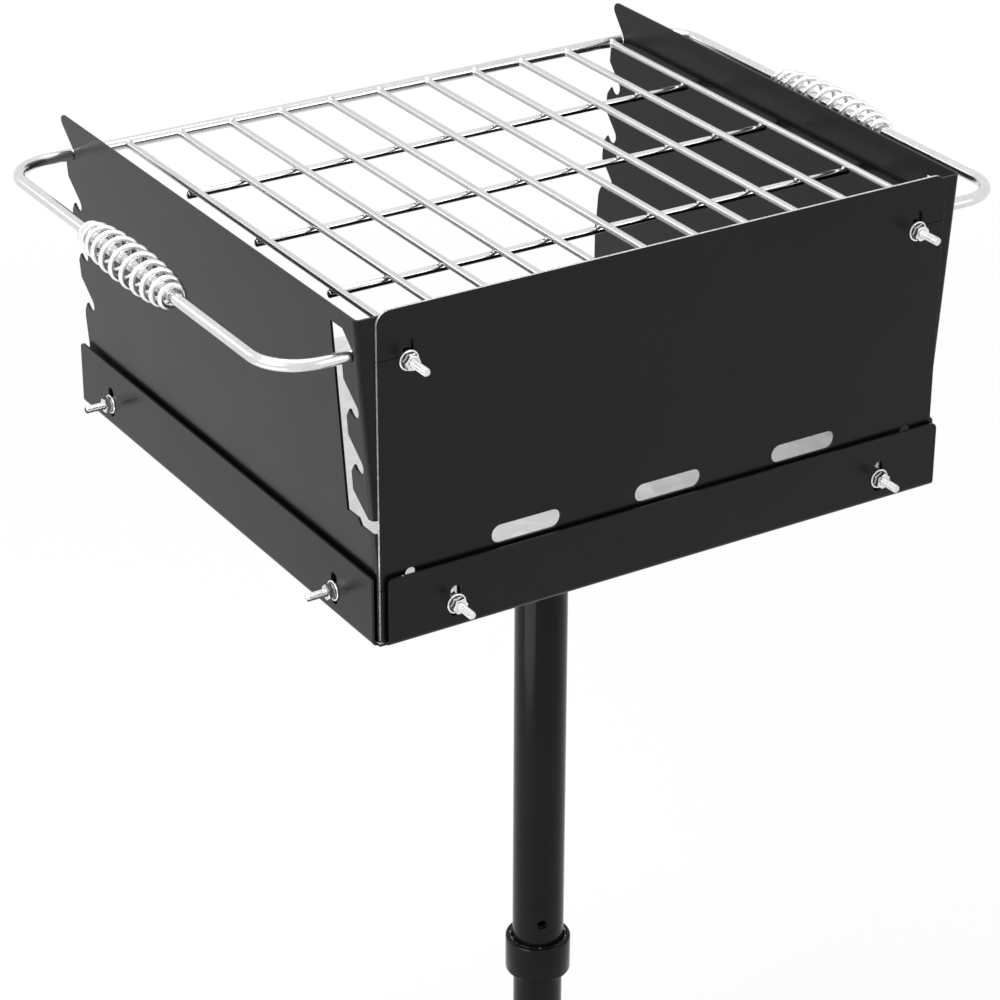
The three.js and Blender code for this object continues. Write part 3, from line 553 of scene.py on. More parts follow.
def galvanised(name):
    """Bare zinc-coated sheet: large soft spangles with a different grey and gloss each."""
    made, tree, shader, position = new_material(name, metallic=0.3, specular=0.5)
    cells = tree.nodes.new("ShaderNodeTexVoronoi")
    cells.inputs["Scale"].default_value = 95
    tree.links.new(position, cells.inputs["Vector"])
    level = tree.nodes.new("ShaderNodeSeparateColor")
    tree.links.new(cells.outputs["Color"], level.inputs["Color"])
    spangle = fade(tree, level.outputs["Red"], 0.7, 0.8, start=0, end=1)
    stains = noise_of(tree, position, scale=9, detail=5)
    dull = fade(tree, level.outputs["Red"], 0.62, 0.7, start=0, end=1)
    patches = fade(tree, stains, 0, 0.8, start=0.45, end=0.7)
    tree.links.new(mixed(tree, patches, spangle, dull), shader.inputs["Base Color"])
    gloss = ranged(tree, level.outputs["Green"], low=0.36, high=0.5, from_low=0, from_high=1)
    tree.links.new(gloss, shader.inputs["Roughness"])
    bumped(tree, shader, noise_of(tree, position, scale=240), PLAIN_RELIEF, strength=0.5)
    return made


def seam_weld(name):
    """Painted-over weld with bare bright spots and spatter where the paint is thin."""
    made, tree, shader, position = new_material(name, metallic=0.35, specular=0.4)
    spots = noise_of(tree, position, scale=330, roughness=0.6)
    bare = fade(tree, spots, 0.01, 0.55, start=0.54, end=0.64)
    tree.links.new(bare, shader.inputs["Base Color"])
    tree.links.new(ranged(tree, spots, low=0.5, high=0.25), shader.inputs["Roughness"])
    bumped(tree, shader, noise_of(tree, position, scale=700), SEAM_RELIEF, strength=0.7)
    return made


SHEET_BLACK = coat(
    "sheet_coat", dark=0.002, light=0.0042, roughness=0.24, specular=0.2, peel=FINE_PEEL)
SHEET_EDGE = worn_coat(
    "sheet_edge_coat", paint=0.009, metal=0.45, roughness=0.4, bare_from=0.72, along=EDGE_GRAIN)
# Bright steel on the rear panel's outer edges: partly bare steel, partly a painted highlight where light
# catches the edges
PANEL_RIM_HIGHLIGHT = rough_steel(
    "panel_rim_bare_and_highlight", dark=0.3, light=0.85, roughness=0.35, scale=430, relief=RIM_RELIEF, metallic=0.6)
POST_BLACK = coat("post_coat", dark=0.003, light=0.005, roughness=0.14, specular=0.13, peel=FINE_PEEL)
POST_EDGE_COAT = coat(
    "post_edge_coat", dark=0.006, light=0.01, roughness=0.3, specular=0.25, peel=COARSE_PEEL)
FLOOR_ZINC = galvanised("tray_floor_zinc")
# Heights below which the bars and cross rods get painted shade on their undersides
bar_shade_line = middle_height("grate_bar_01") - BAR_RADIUS * UNDERSIDE_SHADE_LINE_SHARE
cross_shade_line = middle_height("cross_rod_1") + BAR_RADIUS * UNDERSIDE_SHADE_LINE_SHARE
ROD_STEEL = steel("rod_steel", dark=0.64, light=0.76, roughness=0.2, along=ROD_GRAIN)
BAR_STEEL = steel(
    "bar_steel", dark=0.56, light=0.68, roughness=0.26, along=BAR_GRAIN, underside_shade=0.36,
    below=bar_shade_line)
CROSS_STEEL = steel(
    "cross_rod_steel", dark=0.7, light=0.8, roughness=0.15, along=CROSS_GRAIN, underside_shade=0.03,
    below=cross_shade_line)
COIL_STEEL = steel("coil_steel", dark=0.78, light=0.9, roughness=0.26, along=COIL_GRAIN)
WELD_STEEL = rough_steel(
    "weld_steel", dark=0.5, light=0.7, roughness=0.34, scale=420, relief=WELD_RELIEF)
BOLT_ZINC = rough_steel(
    "bolt_zinc", dark=0.7, light=0.86, roughness=0.26, scale=300, relief=PLATED_RELIEF)
NUT_ZINC = rough_steel(
    "nut_zinc", dark=0.7, light=0.86, roughness=0.22, scale=260, relief=PLATED_RELIEF)
WASHER_ZINC = steel("washer_zinc", dark=0.75, light=0.9, roughness=0.24, along=PLATED_GRAIN)
# Dark metal that paints shade on each washer's outer face
WASHER_FACE_SHADE = steel("washer_face_painted_shade", dark=0.04, light=0.1, roughness=0.35, along=PLATED_GRAIN)
# Dark metal that paints shade on the undersides of the side bolts
BOLT_UNDERSIDE_SHADE = steel("bolt_underside_painted_shade", dark=0.03, light=0.07, roughness=0.3, along=PLATED_GRAIN)
SPIGOT_STEEL = rough_steel(
    "spigot_steel", dark=0.2, light=0.34, roughness=0.4, scale=150, relief=PLAIN_RELIEF)
COLLAR_WELD = seam_weld("collar_weld")


# Folded and flat sheet parts: the frame's shapes with eased edges and their real surfaces
def inner_point(face):
    """A point that is surely on the face: the middle of its largest triangle."""
    best = None
    most = -1
    triangles = [(face.verts[0].co, face.verts[index].co, face.verts[index + 1].co)
                 for index in range(1, len(face.verts) - 1)]
    for first, second, third in triangles:
        across = (second - first).cross(third - first)
        if across.dot(face.normal) > most:
            most = across.dot(face.normal)
            best = (first + second + third) / 3
    return best


def eased_copy(node, bevel):
    """A clean copy of a frame node's mesh with cut-edge faces marked and every sharp edge eased."""
    mesh = frame["nodes"][node].data.copy()
    mesh.name = node + "_dressed"
    mesh.materials.clear()
    work = bmesh.new()
    work.from_mesh(mesh)
    bmesh.ops.remove_doubles(work, verts=work.verts, dist=WELD_DISTANCE)
    bmesh.ops.dissolve_limit(work, angle_limit=FLAT_ANGLE, verts=work.verts, edges=work.edges)
    bmesh.ops.recalc_face_normals(work, faces=work.faces)
    tree = BVHTree.FromBMesh(work)
    for face in work.faces:
        start = inner_point(face) - face.normal * RAY_INSET
        *_, depth = tree.ray_cast(start, -face.normal)
        face.material_index = 1 if depth is not None and depth > THICKNESS_LIMIT else 0
    sharp = [edge for edge in work.edges if edge.is_manifold and edge.calc_face_angle() > SHARP_ANGLE]
    bmesh.ops.bevel(
        work, geom=sharp, offset=bevel, offset_type="OFFSET", segments=BEVEL_STEPS, profile=0.5,
        affect="EDGES", clamp_overlap=True, material=1)
    work.to_mesh(mesh)
    work.free()
    return mesh


def sheet_part(node, body, slot, face_material, edge_material, bevel):
    """A sheet or plate: its node's shape with eased edges, and a coat of its own on the cut edges."""
    mesh = eased_copy(node, bevel)
    mesh.materials.append(face_material)
    mesh.materials.append(edge_material)
    piece = linked(node + "_dressed", shaded(mesh))
    modifier = piece.modifiers.new("even_shading", "WEIGHTED_NORMAL")
    modifier.keep_sharp = True
    return place(piece, body, slot, node)


def box_sheet(node):
    return sheet_part(node, "head", "sheet_black", SHEET_BLACK, SHEET_EDGE, EDGE_BEVEL)


def post_plate(node, body):
    return sheet_part(node, body, "post_black", POST_BLACK, POST_EDGE_COAT, PLATE_BEVEL)


tray_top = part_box("tray")[0].z + SHEET
panel_low, panel_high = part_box("rear_panel")


def on_tray_floor(polygon):
    level = abs(polygon.center.z - tray_top) < LEVEL_TOLERANCE
    return level and polygon.normal.z > UPWARD_NORMAL


def on_panel_rim(polygon):
    """Whether a face is in the bright line along the rear panel's side and top edges: bare steel with a
    painted highlight.
    """
    middle = polygon.center
    aside = min(panel_high.x - middle.x, middle.x - panel_low.x)
    beneath = panel_high.z - middle.z
    inset = min(aside, beneath)
    if aside < PANEL_CORNER and beneath < PANEL_CORNER:
        inset = PANEL_CORNER - math.hypot(PANEL_CORNER - aside, PANEL_CORNER - beneath)
    return inset < RIM_REACH


repaint(box_sheet("tray"), FLOOR_ZINC, on_tray_floor)
box_sheet("left_wall")
box_sheet("right_wall")
# The rear panel's outer edges get the bright rim, partly a painted highlight
repaint(box_sheet("rear_panel"), PANEL_RIM_HIGHLIGHT, on_panel_rim)
post_plate("post_flange", "head")
post_plate("base_plate", "base")


# Grate: bent rod, bars and cross rods with their welds
def loop_corner(sign_x, sign_y):
    """Centre of one of the rod's bends, from the middle of the grate."""
    return Vector((sign_x * (GRATE_HALF_X - LOOP_CORNER), sign_y * (GRATE_HALF_Y - LOOP_CORNER), 0))


def loop_stations():
    """Centreline points of the bent rod with their outward unit vectors."""
    stations = []
    signs = [(1, 1), (-1, 1), (-1, -1), (1, -1)]
    for corner, (sign_x, sign_y) in enumerate(signs):
        centre = loop_corner(sign_x, sign_y)
        for step in range(LOOP_CORNER_STEPS + 1):
            angle = (corner + step / LOOP_CORNER_STEPS) * math.pi / 2
            outward = Vector((math.cos(angle), math.sin(angle), 0))
            stations.append((GRATE_CENTRE + centre + outward * LOOP_CORNER, outward))
        after = loop_corner(*signs[(corner + 1) % len(signs)])
        start = stations[-1][0]
        end = GRATE_CENTRE + after + outward * LOOP_CORNER
        for step in range(1, LOOP_SIDE_STEPS):
            stations.append((start.lerp(end, step / LOOP_SIDE_STEPS), outward))
    return stations


def loop_piece():
    rings = [ring_at(point, outward, Z_AXIS, ROD_RADIUS, ROD_SIDES)
             for point, outward in loop_stations()]
    piece = piece_from("grate_rod", flattened(rings), skin(rings, closed=True), [ROD_STEEL])
    return place(piece, "grate", "stainless", "grate_loop")


def bar_stations(length):
    """Distances along a bar from its middle, with the radius and whether that ring is weld."""
    half = length / 2
    profile = []
    for step in range(FILLET_STEPS + 1):
        share = step / FILLET_STEPS
        profile.append((half + BAR_SINK - FILLET_REACH * share - BAR_SINK * share,
                        BAR_RADIUS + FILLET_SWELL * (1 - share) ** 2))
    ends = [(distance, radius, True) for distance, radius in profile]
    middle = [(half * share, BAR_RADIUS, False) for share in reversed(SPAN_SHARES)]
    mirrored = [(-distance, radius, True) for distance, radius in reversed(profile)]
    return ends + middle + mirrored


def bar_piece(node, number):
    """A bar with a lumpy fillet of weld at both ends."""
    low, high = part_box(node)
    centre = (low + high) / 2
    stations = bar_stations(high.y - low.y)
    rings = []
    for distance, radius, _ in stations:
        ring = []
        middle = Y_AXIS * distance
        for point in ring_at(centre + middle, X_AXIS, Z_AXIS, radius, BAR_SIDES):
            swell = (radius - BAR_RADIUS) / FILLET_SWELL
            seed_place = point * FILLET_NOISE_SCALE + X_AXIS * number
            lump = noise.noise(seed_place) * swell * FILLET_LUMP
            ring.append(point + (point - centre - middle).normalized() * lump)
        rings.append(ring)
    indices = []
    spans = len(rings) - 1
    for row in range(spans):
        welded = stations[row][2] and stations[row + 1][2]
        if row in (FILLET_STEPS - 1, spans - FILLET_STEPS):
            welded = False
        indices.extend([1 if welded else 0] * BAR_SIDES)
    indices.extend([1, 1])
    piece = piece_from(node + "_rod", flattened(rings), skin(rings), [BAR_STEEL, WELD_STEEL], indices)
    return place(piece, "grate", "stainless", node)


def nugget(centre):
    """Rings of a flattened spot of weld between a bar and the cross rod beneath it."""
    rings = []
    for step in range(1, NUGGET_STEPS):
        rise = math.pi * step / NUGGET_STEPS
        ring = ring_at(centre + Z_AXIS * NUGGET_HEIGHT * math.cos(rise), X_AXIS, Y_AXIS,
                       NUGGET_RADIUS * math.sin(rise), NUGGET_SIDES)
        rings.append([
            point + (X_AXIS + Y_AXIS) * noise.noise(point * NUGGET_NOISE_SCALE) * NUGGET_LUMP
            for point in ring
        ])
    return rings


def cross_piece(node, bar_places):
    """A cross rod with rounded ends and a spot of weld under each bar."""
    low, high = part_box(node)
    centre = (low + high) / 2
    half = (high.x - low.x) / 2
    step_in = CROSS_END_EASE * CROSS_END_SHARE
    start = [(-half, BAR_RADIUS - CROSS_END_EASE), (-half + step_in, BAR_RADIUS - step_in),
             (-half + CROSS_END_EASE, BAR_RADIUS)]
    middle = [(half * share, BAR_RADIUS) for share in SPAN_SHARES]
    end = [(-distance, radius) for distance, radius in reversed(start)]
    rings = [ring_at(centre + X_AXIS * distance, Y_AXIS, Z_AXIS, radius, BAR_SIDES)
             for distance, radius in start + middle + end]
    points = flattened(rings)
    faces = skin(rings)
    indices = [0] * len(faces)
    for place_x in bar_places:
        spot = nugget(Vector((place_x, centre.y, centre.z + BAR_RADIUS + NUGGET_LIFT)))
        more = skin(spot, offset=len(points))
        points += flattened(spot)
        faces += more
        indices += [1] * len(more)
    piece = piece_from(node + "_welded", points, faces, [CROSS_STEEL, WELD_STEEL], indices)
    return place(piece, "grate", "stainless", node)


loop_piece()
bar_middles = []
for index in range(BAR_COUNT):
    bar_node = f"grate_bar_{index + 1:02d}"
    bar_piece(bar_node, index)
    bar_low, bar_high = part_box(bar_node)
    bar_middles.append((bar_low.x + bar_high.x) / 2)
for index in range(CROSS_COUNT):
    cross_piece(f"cross_rod_{index + 1}", bar_middles)


# Coil grips: one wire wound as a barrel round each handle
def grip_stations():
    """Centreline points of the wound wire, from the middle of its handle."""
    count = round(GRIP_TURNS * CURL_STEPS)
    winding = GRIP_LENGTH - 2 * WIRE_RADIUS
    extra = 2 * (winding / GRIP_TURNS - GRIP_END_SPACING)
    stations = []
    for index in range(count + 1):
        share = index / count
        angle = 2 * math.pi * GRIP_TURNS * share
        swell = math.sin(math.pi * share) ** BARREL_POWER if 0 < index < count else 0
        radius = GRIP_END_RADIUS + (GRIP_MID_RADIUS - GRIP_END_RADIUS) * swell
        bulge = share / 2 - math.sin(2 * math.pi * share) / (4 * math.pi)
        along = GRIP_TURNS * (GRIP_END_SPACING * share + extra * bulge) - winding / 2
        stations.append(Vector((radius * math.cos(angle), along, radius * math.sin(angle))))
    return stations


def wire_path():
    """The wire's centreline, with a short straight run at both ends."""
    stations = grip_stations()
    first = Vector((-stations[0].z, 0, stations[0].x)).normalized()
    last = Vector((-stations[-1].z, 0, stations[-1].x)).normalized()
    steps = range(WIRE_END_STEPS)
    lead = [stations[0] - first * 2 * WIRE_RADIUS * (1 - step / WIRE_END_STEPS) for step in steps]
    tail = [stations[-1] + last * 2 * WIRE_RADIUS * (step + 1) / WIRE_END_STEPS for step in steps]
    return lead + stations + tail


def grip_piece(hand, side):
    centre = GRATE_CENTRE + Vector((side * GRATE_HALF_X, GRIP_SHIFT, 0))
    path = wire_path()
    rings = []
    for index, station in enumerate(path):
        before = path[max(0, index - 1)]
        after = path[min(len(path) - 1, index + 1)]
        heading = (after - before).normalized()
        outward = Vector((station.x, 0, station.z))
        outward = (outward - heading * outward.dot(heading)).normalized()
        from_end = min(index, len(path) - 1 - index)
        share = WIRE_TIP_SHARES[from_end] if from_end < len(WIRE_TIP_SHARES) else 1
        rings.append(ring_at(
            centre + station, outward, heading.cross(outward), WIRE_RADIUS * share, WIRE_SIDES))
    piece = piece_from(hand + "_grip_wire", flattened(rings), skin(rings), [COIL_STEEL])
    return place(piece, hand + "_grip", "stainless", hand + "_grip_coil")


grip_piece("left", -1)
grip_piece("right", 1)


# Fasteners: a bolt is drawn along +Z from its head's outer face, a washer or a nut from its seat
def level_circle(radius, level):
    points = []
    for index in range(HEX_SAMPLES):
        angle = 2 * math.pi * index / HEX_SAMPLES
        points.append(Vector((radius * math.cos(angle), radius * math.sin(angle), level)))
    return points


def hex_reach(angle, across):
    """Distance from the middle to the side of a hexagon, seen at an angle."""
    turn = (angle % (math.pi / 3)) - math.pi / 6
    return across / 2 / math.cos(turn)


def hex_outline(across, flat, height, upper):
    """A hexagon's outline, its corners chamfered away from its upper or lower face."""
    ring = []
    for index in range(HEX_SAMPLES):
        angle = 2 * math.pi * index / HEX_SAMPLES
        reach = hex_reach(angle, across)
        drop = (reach - flat) * HEX_CHAMFER_SLOPE
        level = height - drop if upper else drop
        ring.append(Vector((reach * math.cos(angle), reach * math.sin(angle), level)))
    return ring


def hex_rings(across, height, inner):
    """Rings of a hexagon with chamfered corners at both faces, from bore to bore."""
    flat = across / 2 * HEX_FACE_SHARE
    return [
        level_circle(inner, 0), level_circle(flat, 0),
        hex_outline(across, flat, height, upper=False), hex_outline(across, flat, height, upper=True),
        level_circle(flat, height), level_circle(inner, height),
    ]


def nut_shape(sizes):
    """A nut whose bore opens at both faces."""
    height = sizes["nut"]
    rings = hex_rings(sizes["across"], height, sizes["diameter"] / 2 + NUT_BORE_GAP)
    bore = sizes["diameter"] / 2 - NUT_BITE
    rings += [level_circle(bore, height - NUT_LEAD), level_circle(bore, NUT_LEAD)]
    return flattened(rings), skin(rings, closed=True)


def washer_shape():
    """A washer whose outer face is painted dark with shade, inside a bright rim."""
    outer = WASHER_OUTER
    inner = WASHER_INNER
    top = WASHER_THICKNESS
    ease = WASHER_EASE
    rim = (outer - WASHER_RIM, top)
    section = [(inner, ease), (inner + ease, 0), (outer - ease, 0), (outer, ease), (outer, top - ease),
               (outer - ease, top), rim, (inner + ease, top), (inner, top - ease)]
    points, faces = revolved(section, WASHER_SIDES)
    painted_shade_face = section.index(rim)
    return points, faces, [1 if index % len(section) == painted_shade_face else 0 for index in range(len(faces))]


def thread_rings(radius, start, end, pitch):
    """Rings of a helical thread between two heights, ending in a chamfered tip."""
    depth = pitch * THREAD_DEPTH_SHARE
    count = max(2, round((end - start) / pitch * THREAD_SAMPLES))
    rings = []
    for step in range(count + 1):
        height = start + (end - start) * step / count
        limit = radius - max(0, height - (end - TIP_CHAMFER))
        ring = []
        for side in range(THREAD_SIDES):
            angle = 2 * math.pi * side / THREAD_SIDES
            turn = (height / pitch - side / THREAD_SIDES) % 1
            wave = min(1, max(0, abs(turn - 0.5) * THREAD_FLANK_SLOPE - THREAD_CREST_SHARE))
            reach = min(limit, radius - depth * wave)
            ring.append(Vector((reach * math.cos(angle), reach * math.sin(angle), height)))
        rings.append(ring)
    return rings


def bolt_shape(sizes):
    """Points and faces of a hexagon head and of the threaded shank that starts inside it."""
    head = sizes["head"]
    rings = hex_rings(sizes["across"], head, sizes["diameter"] / 4)
    points = flattened(rings)
    faces = skin(rings)
    thread = thread_rings(sizes["diameter"] / 2, head - SHANK_SINK, sizes["length"], sizes["pitch"])
    faces += skin(thread, offset=len(points))
    points += flattened(thread)
    return points, faces


def fastener(name, node, materials, shape, axis, sense, turn):
    """Sets a shape that is drawn along +Z on its CAD node, which lies along one of the frame's axes."""
    low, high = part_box(node)
    start = (low + high) / 2
    start[axis] = low[axis] if sense > 0 else high[axis]
    outward = Vector((0, 0, 0))
    outward[axis] = sense
    spin = Matrix.Rotation(math.radians(turn), 4, "Z")
    lay = Matrix.Translation(start) @ outward.to_track_quat("Z", "Y").to_matrix().to_4x4() @ spin
    points, faces, *indices = shape
    piece = piece_from(name, [lay @ point for point in points], faces, materials, *indices)
    return place(piece, "head", "zinc_plate", node)


def paint_shade_below(piece, height):
    """Paints shade on a bolt: its faces below a height turn dark, head and thread alike."""
    repaint(piece, BOLT_UNDERSIDE_SHADE, lambda polygon: polygon.center.z < height)


# Each set's name, the axis that its bolt lies along, the way it points, and its nut's turn in degrees
BOX_SETS = [
    ("rear_upper_left", ALONG_Y, 1, 12), ("rear_upper_right", ALONG_Y, 1, -8),
    ("rear_lower_left", ALONG_Y, 1, 23), ("rear_lower_right", ALONG_Y, 1, 4),
    ("left_front", ALONG_X, -1, 17), ("left_rear", ALONG_X, -1, -14),
    ("right_front", ALONG_X, 1, 9), ("right_rear", ALONG_X, 1, -19),
]
for name, axis, sense, turn in BOX_SETS:
    bolt = fastener(
        name + "_threaded", name + "_bolt", [BOLT_ZINC], bolt_shape(BOX_HARDWARE), axis, sense,
        turn * BOX_BOLT_TURNS)
    # The side bolts get painted shade on their lower half
    if axis == ALONG_X:
        paint_shade_below(bolt, middle_height(name + "_bolt"))
    fastener(
        name + "_ring", name + "_washer", [WASHER_ZINC, WASHER_FACE_SHADE], washer_shape(), axis, sense, 0)
    fastener(name + "_hexagon", name + "_nut", [NUT_ZINC], nut_shape(BOX_HARDWARE), axis, sense, turn)
for index in range(POST_BOLTS):
    bolt_node = f"post_bolt_{index + 1}"
    nut_node = f"post_nut_{index + 1}"
    fastener(bolt_node + "_threaded", bolt_node, [BOLT_ZINC], bolt_shape(POST_HARDWARE), ALONG_Z, -1,
             POST_BOLT_TURN * index)
    fastener(nut_node + "_hexagon", nut_node, [NUT_ZINC], nut_shape(POST_HARDWARE), ALONG_Z, -1,
             POST_NUT_TURN * index)


# Post: two tubes, the collar over their joint, and the welds
def tube_section(outer, bottom, top, levels):
    """A closed half section of a tube with eased rims and extra stations up its sides."""
    inner = outer - POST_WALL
    ease = POST_EDGE
    outside = [(outer, level) for level in levels]
    inside = [(inner, level) for level in reversed(levels)]
    return [
        (inner + ease, bottom), (outer - ease, bottom), (outer, bottom + ease), *outside,
        (outer, top - ease), (outer - ease, top), (inner + ease, top), (inner, top - ease), *inside,
        (inner, bottom + ease),
    ]


def shares_up(low, high, shares):
    return [low.z + (high.z - low.z) * share for share in shares]


def cut_hole(piece, radius, height, angle, reach):
    """Bores a round hole through one side of an upright tube."""
    outward = Vector((math.cos(angle), math.sin(angle), 0))
    sideways = Vector((-math.sin(angle), math.cos(angle), 0))
    rings = [ring_at(outward * distance + Z_AXIS * height, sideways, Z_AXIS, radius, PIN_HOLE_SIDES)
             for distance in (reach * DRILL_START_SHARE, reach)]
    drill = linked("drill", mesh_of("drill", flattened(rings), skin(rings)))
    modifier = piece.modifiers.new("hole", "BOOLEAN")
    modifier.object = drill
    modifier.operation = "DIFFERENCE"
    modifier.solver = "EXACT"
    graph = bpy.context.evaluated_depsgraph_get()
    cut = bpy.data.meshes.new_from_object(piece.evaluated_get(graph))
    piece.modifiers.remove(modifier)
    piece.data = shaded(cut)
    bpy.data.objects.remove(drill)


def bead(name, tube_radius, height, sizes, material, body, seed):
    """A weld bead round the post, with the ripples of its passes and a wandering edge."""
    rings = []
    steps = sizes["ripples"] * RIPPLE_STEPS
    for step in range(steps):
        angle = 2 * math.pi * step / steps
        outward = Vector((math.cos(angle), math.sin(angle), 0))
        ripple = 1 + RIPPLE_SHARE * math.cos(2 * math.pi * step / RIPPLE_STEPS)
        wander = noise.noise(outward * BEAD_NOISE_SCALE + Z_AXIS * seed) * BEAD_WANDER
        centre = outward * (tube_radius + sizes["offset"] + wander) + Z_AXIS * height
        ring = []
        for side in range(BEAD_SIDES):
            around = 2 * math.pi * side / BEAD_SIDES
            ring.append(centre + outward * sizes["thickness"] * ripple * math.cos(around)
                        + Z_AXIS * sizes["rise"] * ripple * math.sin(around))
        rings.append(ring)
    piece = piece_from(name, flattened(rings), skin(rings, closed=True), [material])
    return place(piece, body, "post_black")


upper_low, upper_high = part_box("upper_post")
upper_levels = [upper_low.z + rise for rise in UPPER_RISES]
upper_levels += shares_up(upper_low, upper_high, UPPER_LEVEL_SHARES)
upper_section = tube_section(POST_RADIUS, upper_low.z, upper_high.z, upper_levels)
upper_post = piece_from("upper_post_tube", *revolved(upper_section, POST_SIDES), [POST_BLACK])
pin_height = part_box("swivel_collar")[1].z + PIN_HOLE_RISE
cut_hole(upper_post, PIN_HOLE_RADIUS, pin_height, PIN_HOLE_ANGLE, COLLAR_RADIUS)
place(upper_post, "head", "post_black", "upper_post")

lower_low, lower_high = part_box("lower_post")
lower_levels = shares_up(lower_low, lower_high, LOWER_LEVEL_SHARES)
lower_section = tube_section(LOWER_RADIUS, lower_low.z, lower_high.z, lower_levels)
lower_post = piece_from("lower_post_tube", *revolved(lower_section, POST_SIDES), [POST_BLACK])
place(lower_post, "base", "post_black", "lower_post")


def collar_section(bottom, top):
    """The collar's half section: round rims outside, and a recess and a step inside."""
    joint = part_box("lower_post")[1].z
    outer = COLLAR_RADIUS
    rim = COLLAR_RIM
    upper_bore = POST_RADIUS + BORE_GAP
    lower_bore = LOWER_RADIUS + BORE_GAP
    mouth = upper_bore + COLLAR_RECESS
    return [
        (lower_bore, bottom),
        *arc_points((outer - rim, bottom + rim), rim, -90, 0, COLLAR_RIM_STEPS),
        *arc_points((outer - rim, top - rim), rim, 0, 90, COLLAR_RIM_STEPS),
        (mouth + COLLAR_LIP_OUT, top), (mouth - COLLAR_LIP_IN, top - COLLAR_LIP_DROP),
        (upper_bore, top - COLLAR_RECESS), (upper_bore, joint), (lower_bore, joint),
    ]


collar_body = body_of(frame["nodes"]["swivel_collar"])[0]
collar_low, collar_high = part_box("swivel_collar")
collar_shape = revolved(collar_section(collar_low.z, collar_high.z), POST_SIDES)
collar = piece_from("swivel_collar_ring", *collar_shape, [POST_BLACK])
place(collar, collar_body, "post_black", "swivel_collar")
frame["nodes"]["spigot_tube"].data.materials.clear()
frame["nodes"]["spigot_tube"].data.materials.append(SPIGOT_STEEL)

bead("collar_weld_bead", POST_RADIUS, collar_high.z - COLLAR_BEAD["inset"], COLLAR_BEAD,
     COLLAR_WELD, collar_body, seed=1)
bead("base_weld_bead", LOWER_RADIUS, lower_low.z + TUBE_BEAD["inset"], TUBE_BEAD,
     POST_BLACK, "base", seed=2)
bead("flange_weld_bead", POST_RADIUS, upper_high.z - TUBE_BEAD["inset"], TUBE_BEAD,
     POST_BLACK, "head", seed=3)


# Stage, light and camera
def seen_by_eye(tree, path):
    """One for rays from the eye, off gloss or through glass, and nought for the light that falls."""
    total = path.outputs["Is Camera Ray"]
    for kind in ("Is Glossy Ray", "Is Transmission Ray"):
        larger = tree.nodes.new("ShaderNodeMath")
        larger.operation = "MAXIMUM"
        tree.links.new(total, larger.inputs[0])
        tree.links.new(path.outputs[kind], larger.inputs[1])
        total = larger.outputs["Value"]
    return total


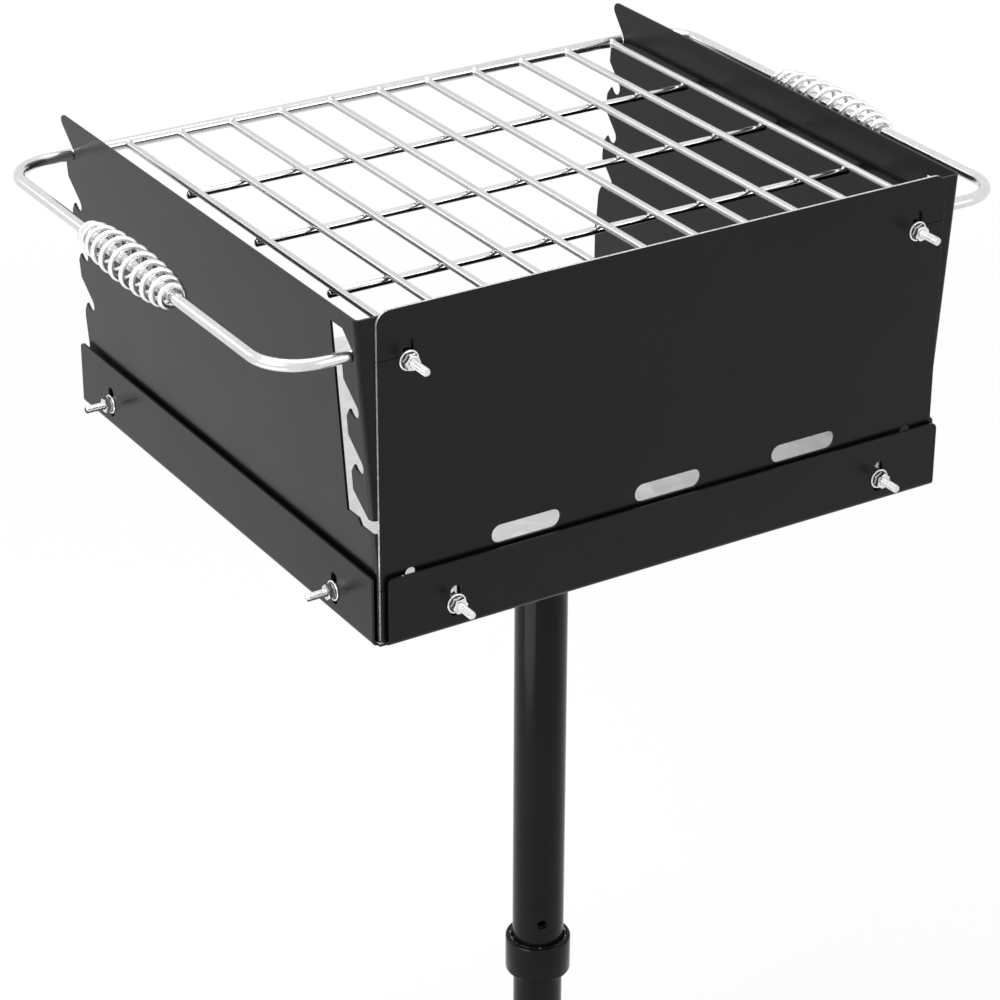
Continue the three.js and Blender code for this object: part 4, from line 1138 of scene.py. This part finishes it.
def floor_material():
    """A white floor that fades into the background away from the grill's shadow."""
    made = bpy.data.materials.new("floor_white")
    made.use_nodes = True
    tree = made.node_tree
    tree.nodes.clear()
    output = tree.nodes.new("ShaderNodeOutputMaterial")
    diffuse = tree.nodes.new("ShaderNodeBsdfDiffuse")
    diffuse.inputs["Color"].default_value = (*grey(FLOOR_GREY), 1)
    glow = tree.nodes.new("ShaderNodeEmission")
    glow.inputs["Color"].default_value = (1, 1, 1, 1)
    path = tree.nodes.new("ShaderNodeLightPath")
    coordinates = tree.nodes.new("ShaderNodeTexCoord")
    reach = tree.nodes.new("ShaderNodeVectorMath")
    reach.operation = "LENGTH"
    tree.links.new(coordinates.outputs["Object"], reach.inputs[0])
    white = ranged(tree, reach.outputs["Value"], FLOOR_NEAR_SHARE, 1, FLOOR_NEAR, FLOOR_FAR)
    share = tree.nodes.new("ShaderNodeMath")
    share.operation = "MULTIPLY"
    tree.links.new(white, share.inputs[1])
    tree.links.new(seen_by_eye(tree, path), share.inputs[0])
    blend = tree.nodes.new("ShaderNodeMixShader")
    tree.links.new(share.outputs["Value"], blend.inputs["Fac"])
    tree.links.new(diffuse.outputs["BSDF"], blend.inputs[1])
    tree.links.new(glow.outputs["Emission"], blend.inputs[2])
    tree.links.new(blend.outputs["Shader"], output.inputs["Surface"])
    return made


def stage_floor():
    half = FLOOR_HALF
    corners = [(-half, -half, 0), (half, -half, 0), (half, half, 0), (-half, half, 0)]
    mesh = mesh_of("studio_floor", corners, [(0, 1, 2, 3)])
    mesh.materials.append(floor_material())
    linked("studio_floor", mesh)


def lamp(name, at, aim, size, watts):
    """A soft rectangular lamp that looks at a point."""
    light = bpy.data.lights.new(name, "AREA")
    light.shape = "RECTANGLE"
    light.size, light.size_y = size
    light.energy = watts
    made = linked(name, light)
    made.location = at
    made.rotation_euler = (Vector(aim) - Vector(at)).to_track_quat("-Z", "Y").to_euler()


def world_light():
    """Even light from all round, seen as plain white by the eye."""
    world = bpy.data.worlds.new("studio")
    world.use_nodes = True
    bpy.context.scene.world = world
    tree = world.node_tree
    tree.nodes.clear()
    output = tree.nodes.new("ShaderNodeOutputWorld")
    back = tree.nodes.new("ShaderNodeBackground")
    back.inputs["Color"].default_value = (1, 1, 1, 1)
    path = tree.nodes.new("ShaderNodeLightPath")
    strength = tree.nodes.new("ShaderNodeMapRange")
    strength.inputs["To Min"].default_value = WORLD_FILL
    strength.inputs["To Max"].default_value = 1
    tree.links.new(seen_by_eye(tree, path), strength.inputs["Value"])
    tree.links.new(strength.outputs["Result"], back.inputs["Strength"])
    tree.links.new(back.outputs["Background"], output.inputs["Surface"])


def camera():
    made = bpy.data.cameras.new("camera")
    made.lens = LENS
    made.sensor_width = SENSOR_WIDTH
    made.clip_end = VIEW_END
    eye = linked("camera", made)
    bearing = Matrix.Rotation(EYE_BEARING - math.pi / 2, 4, "Z")
    tilt = Matrix.Rotation(EYE_TILT + math.pi / 2, 4, "X")
    roll = Matrix.Rotation(EYE_ROLL, 4, "Z")
    eye.matrix_world = Matrix.Translation(EYE_PLACE) @ bearing @ tilt @ roll
    bpy.context.scene.camera = eye


stage_floor()
world_light()
for lamp_values in LAMPS:
    lamp(**lamp_values)
camera()
bpy.context.scene.view_settings.view_transform = "Standard"
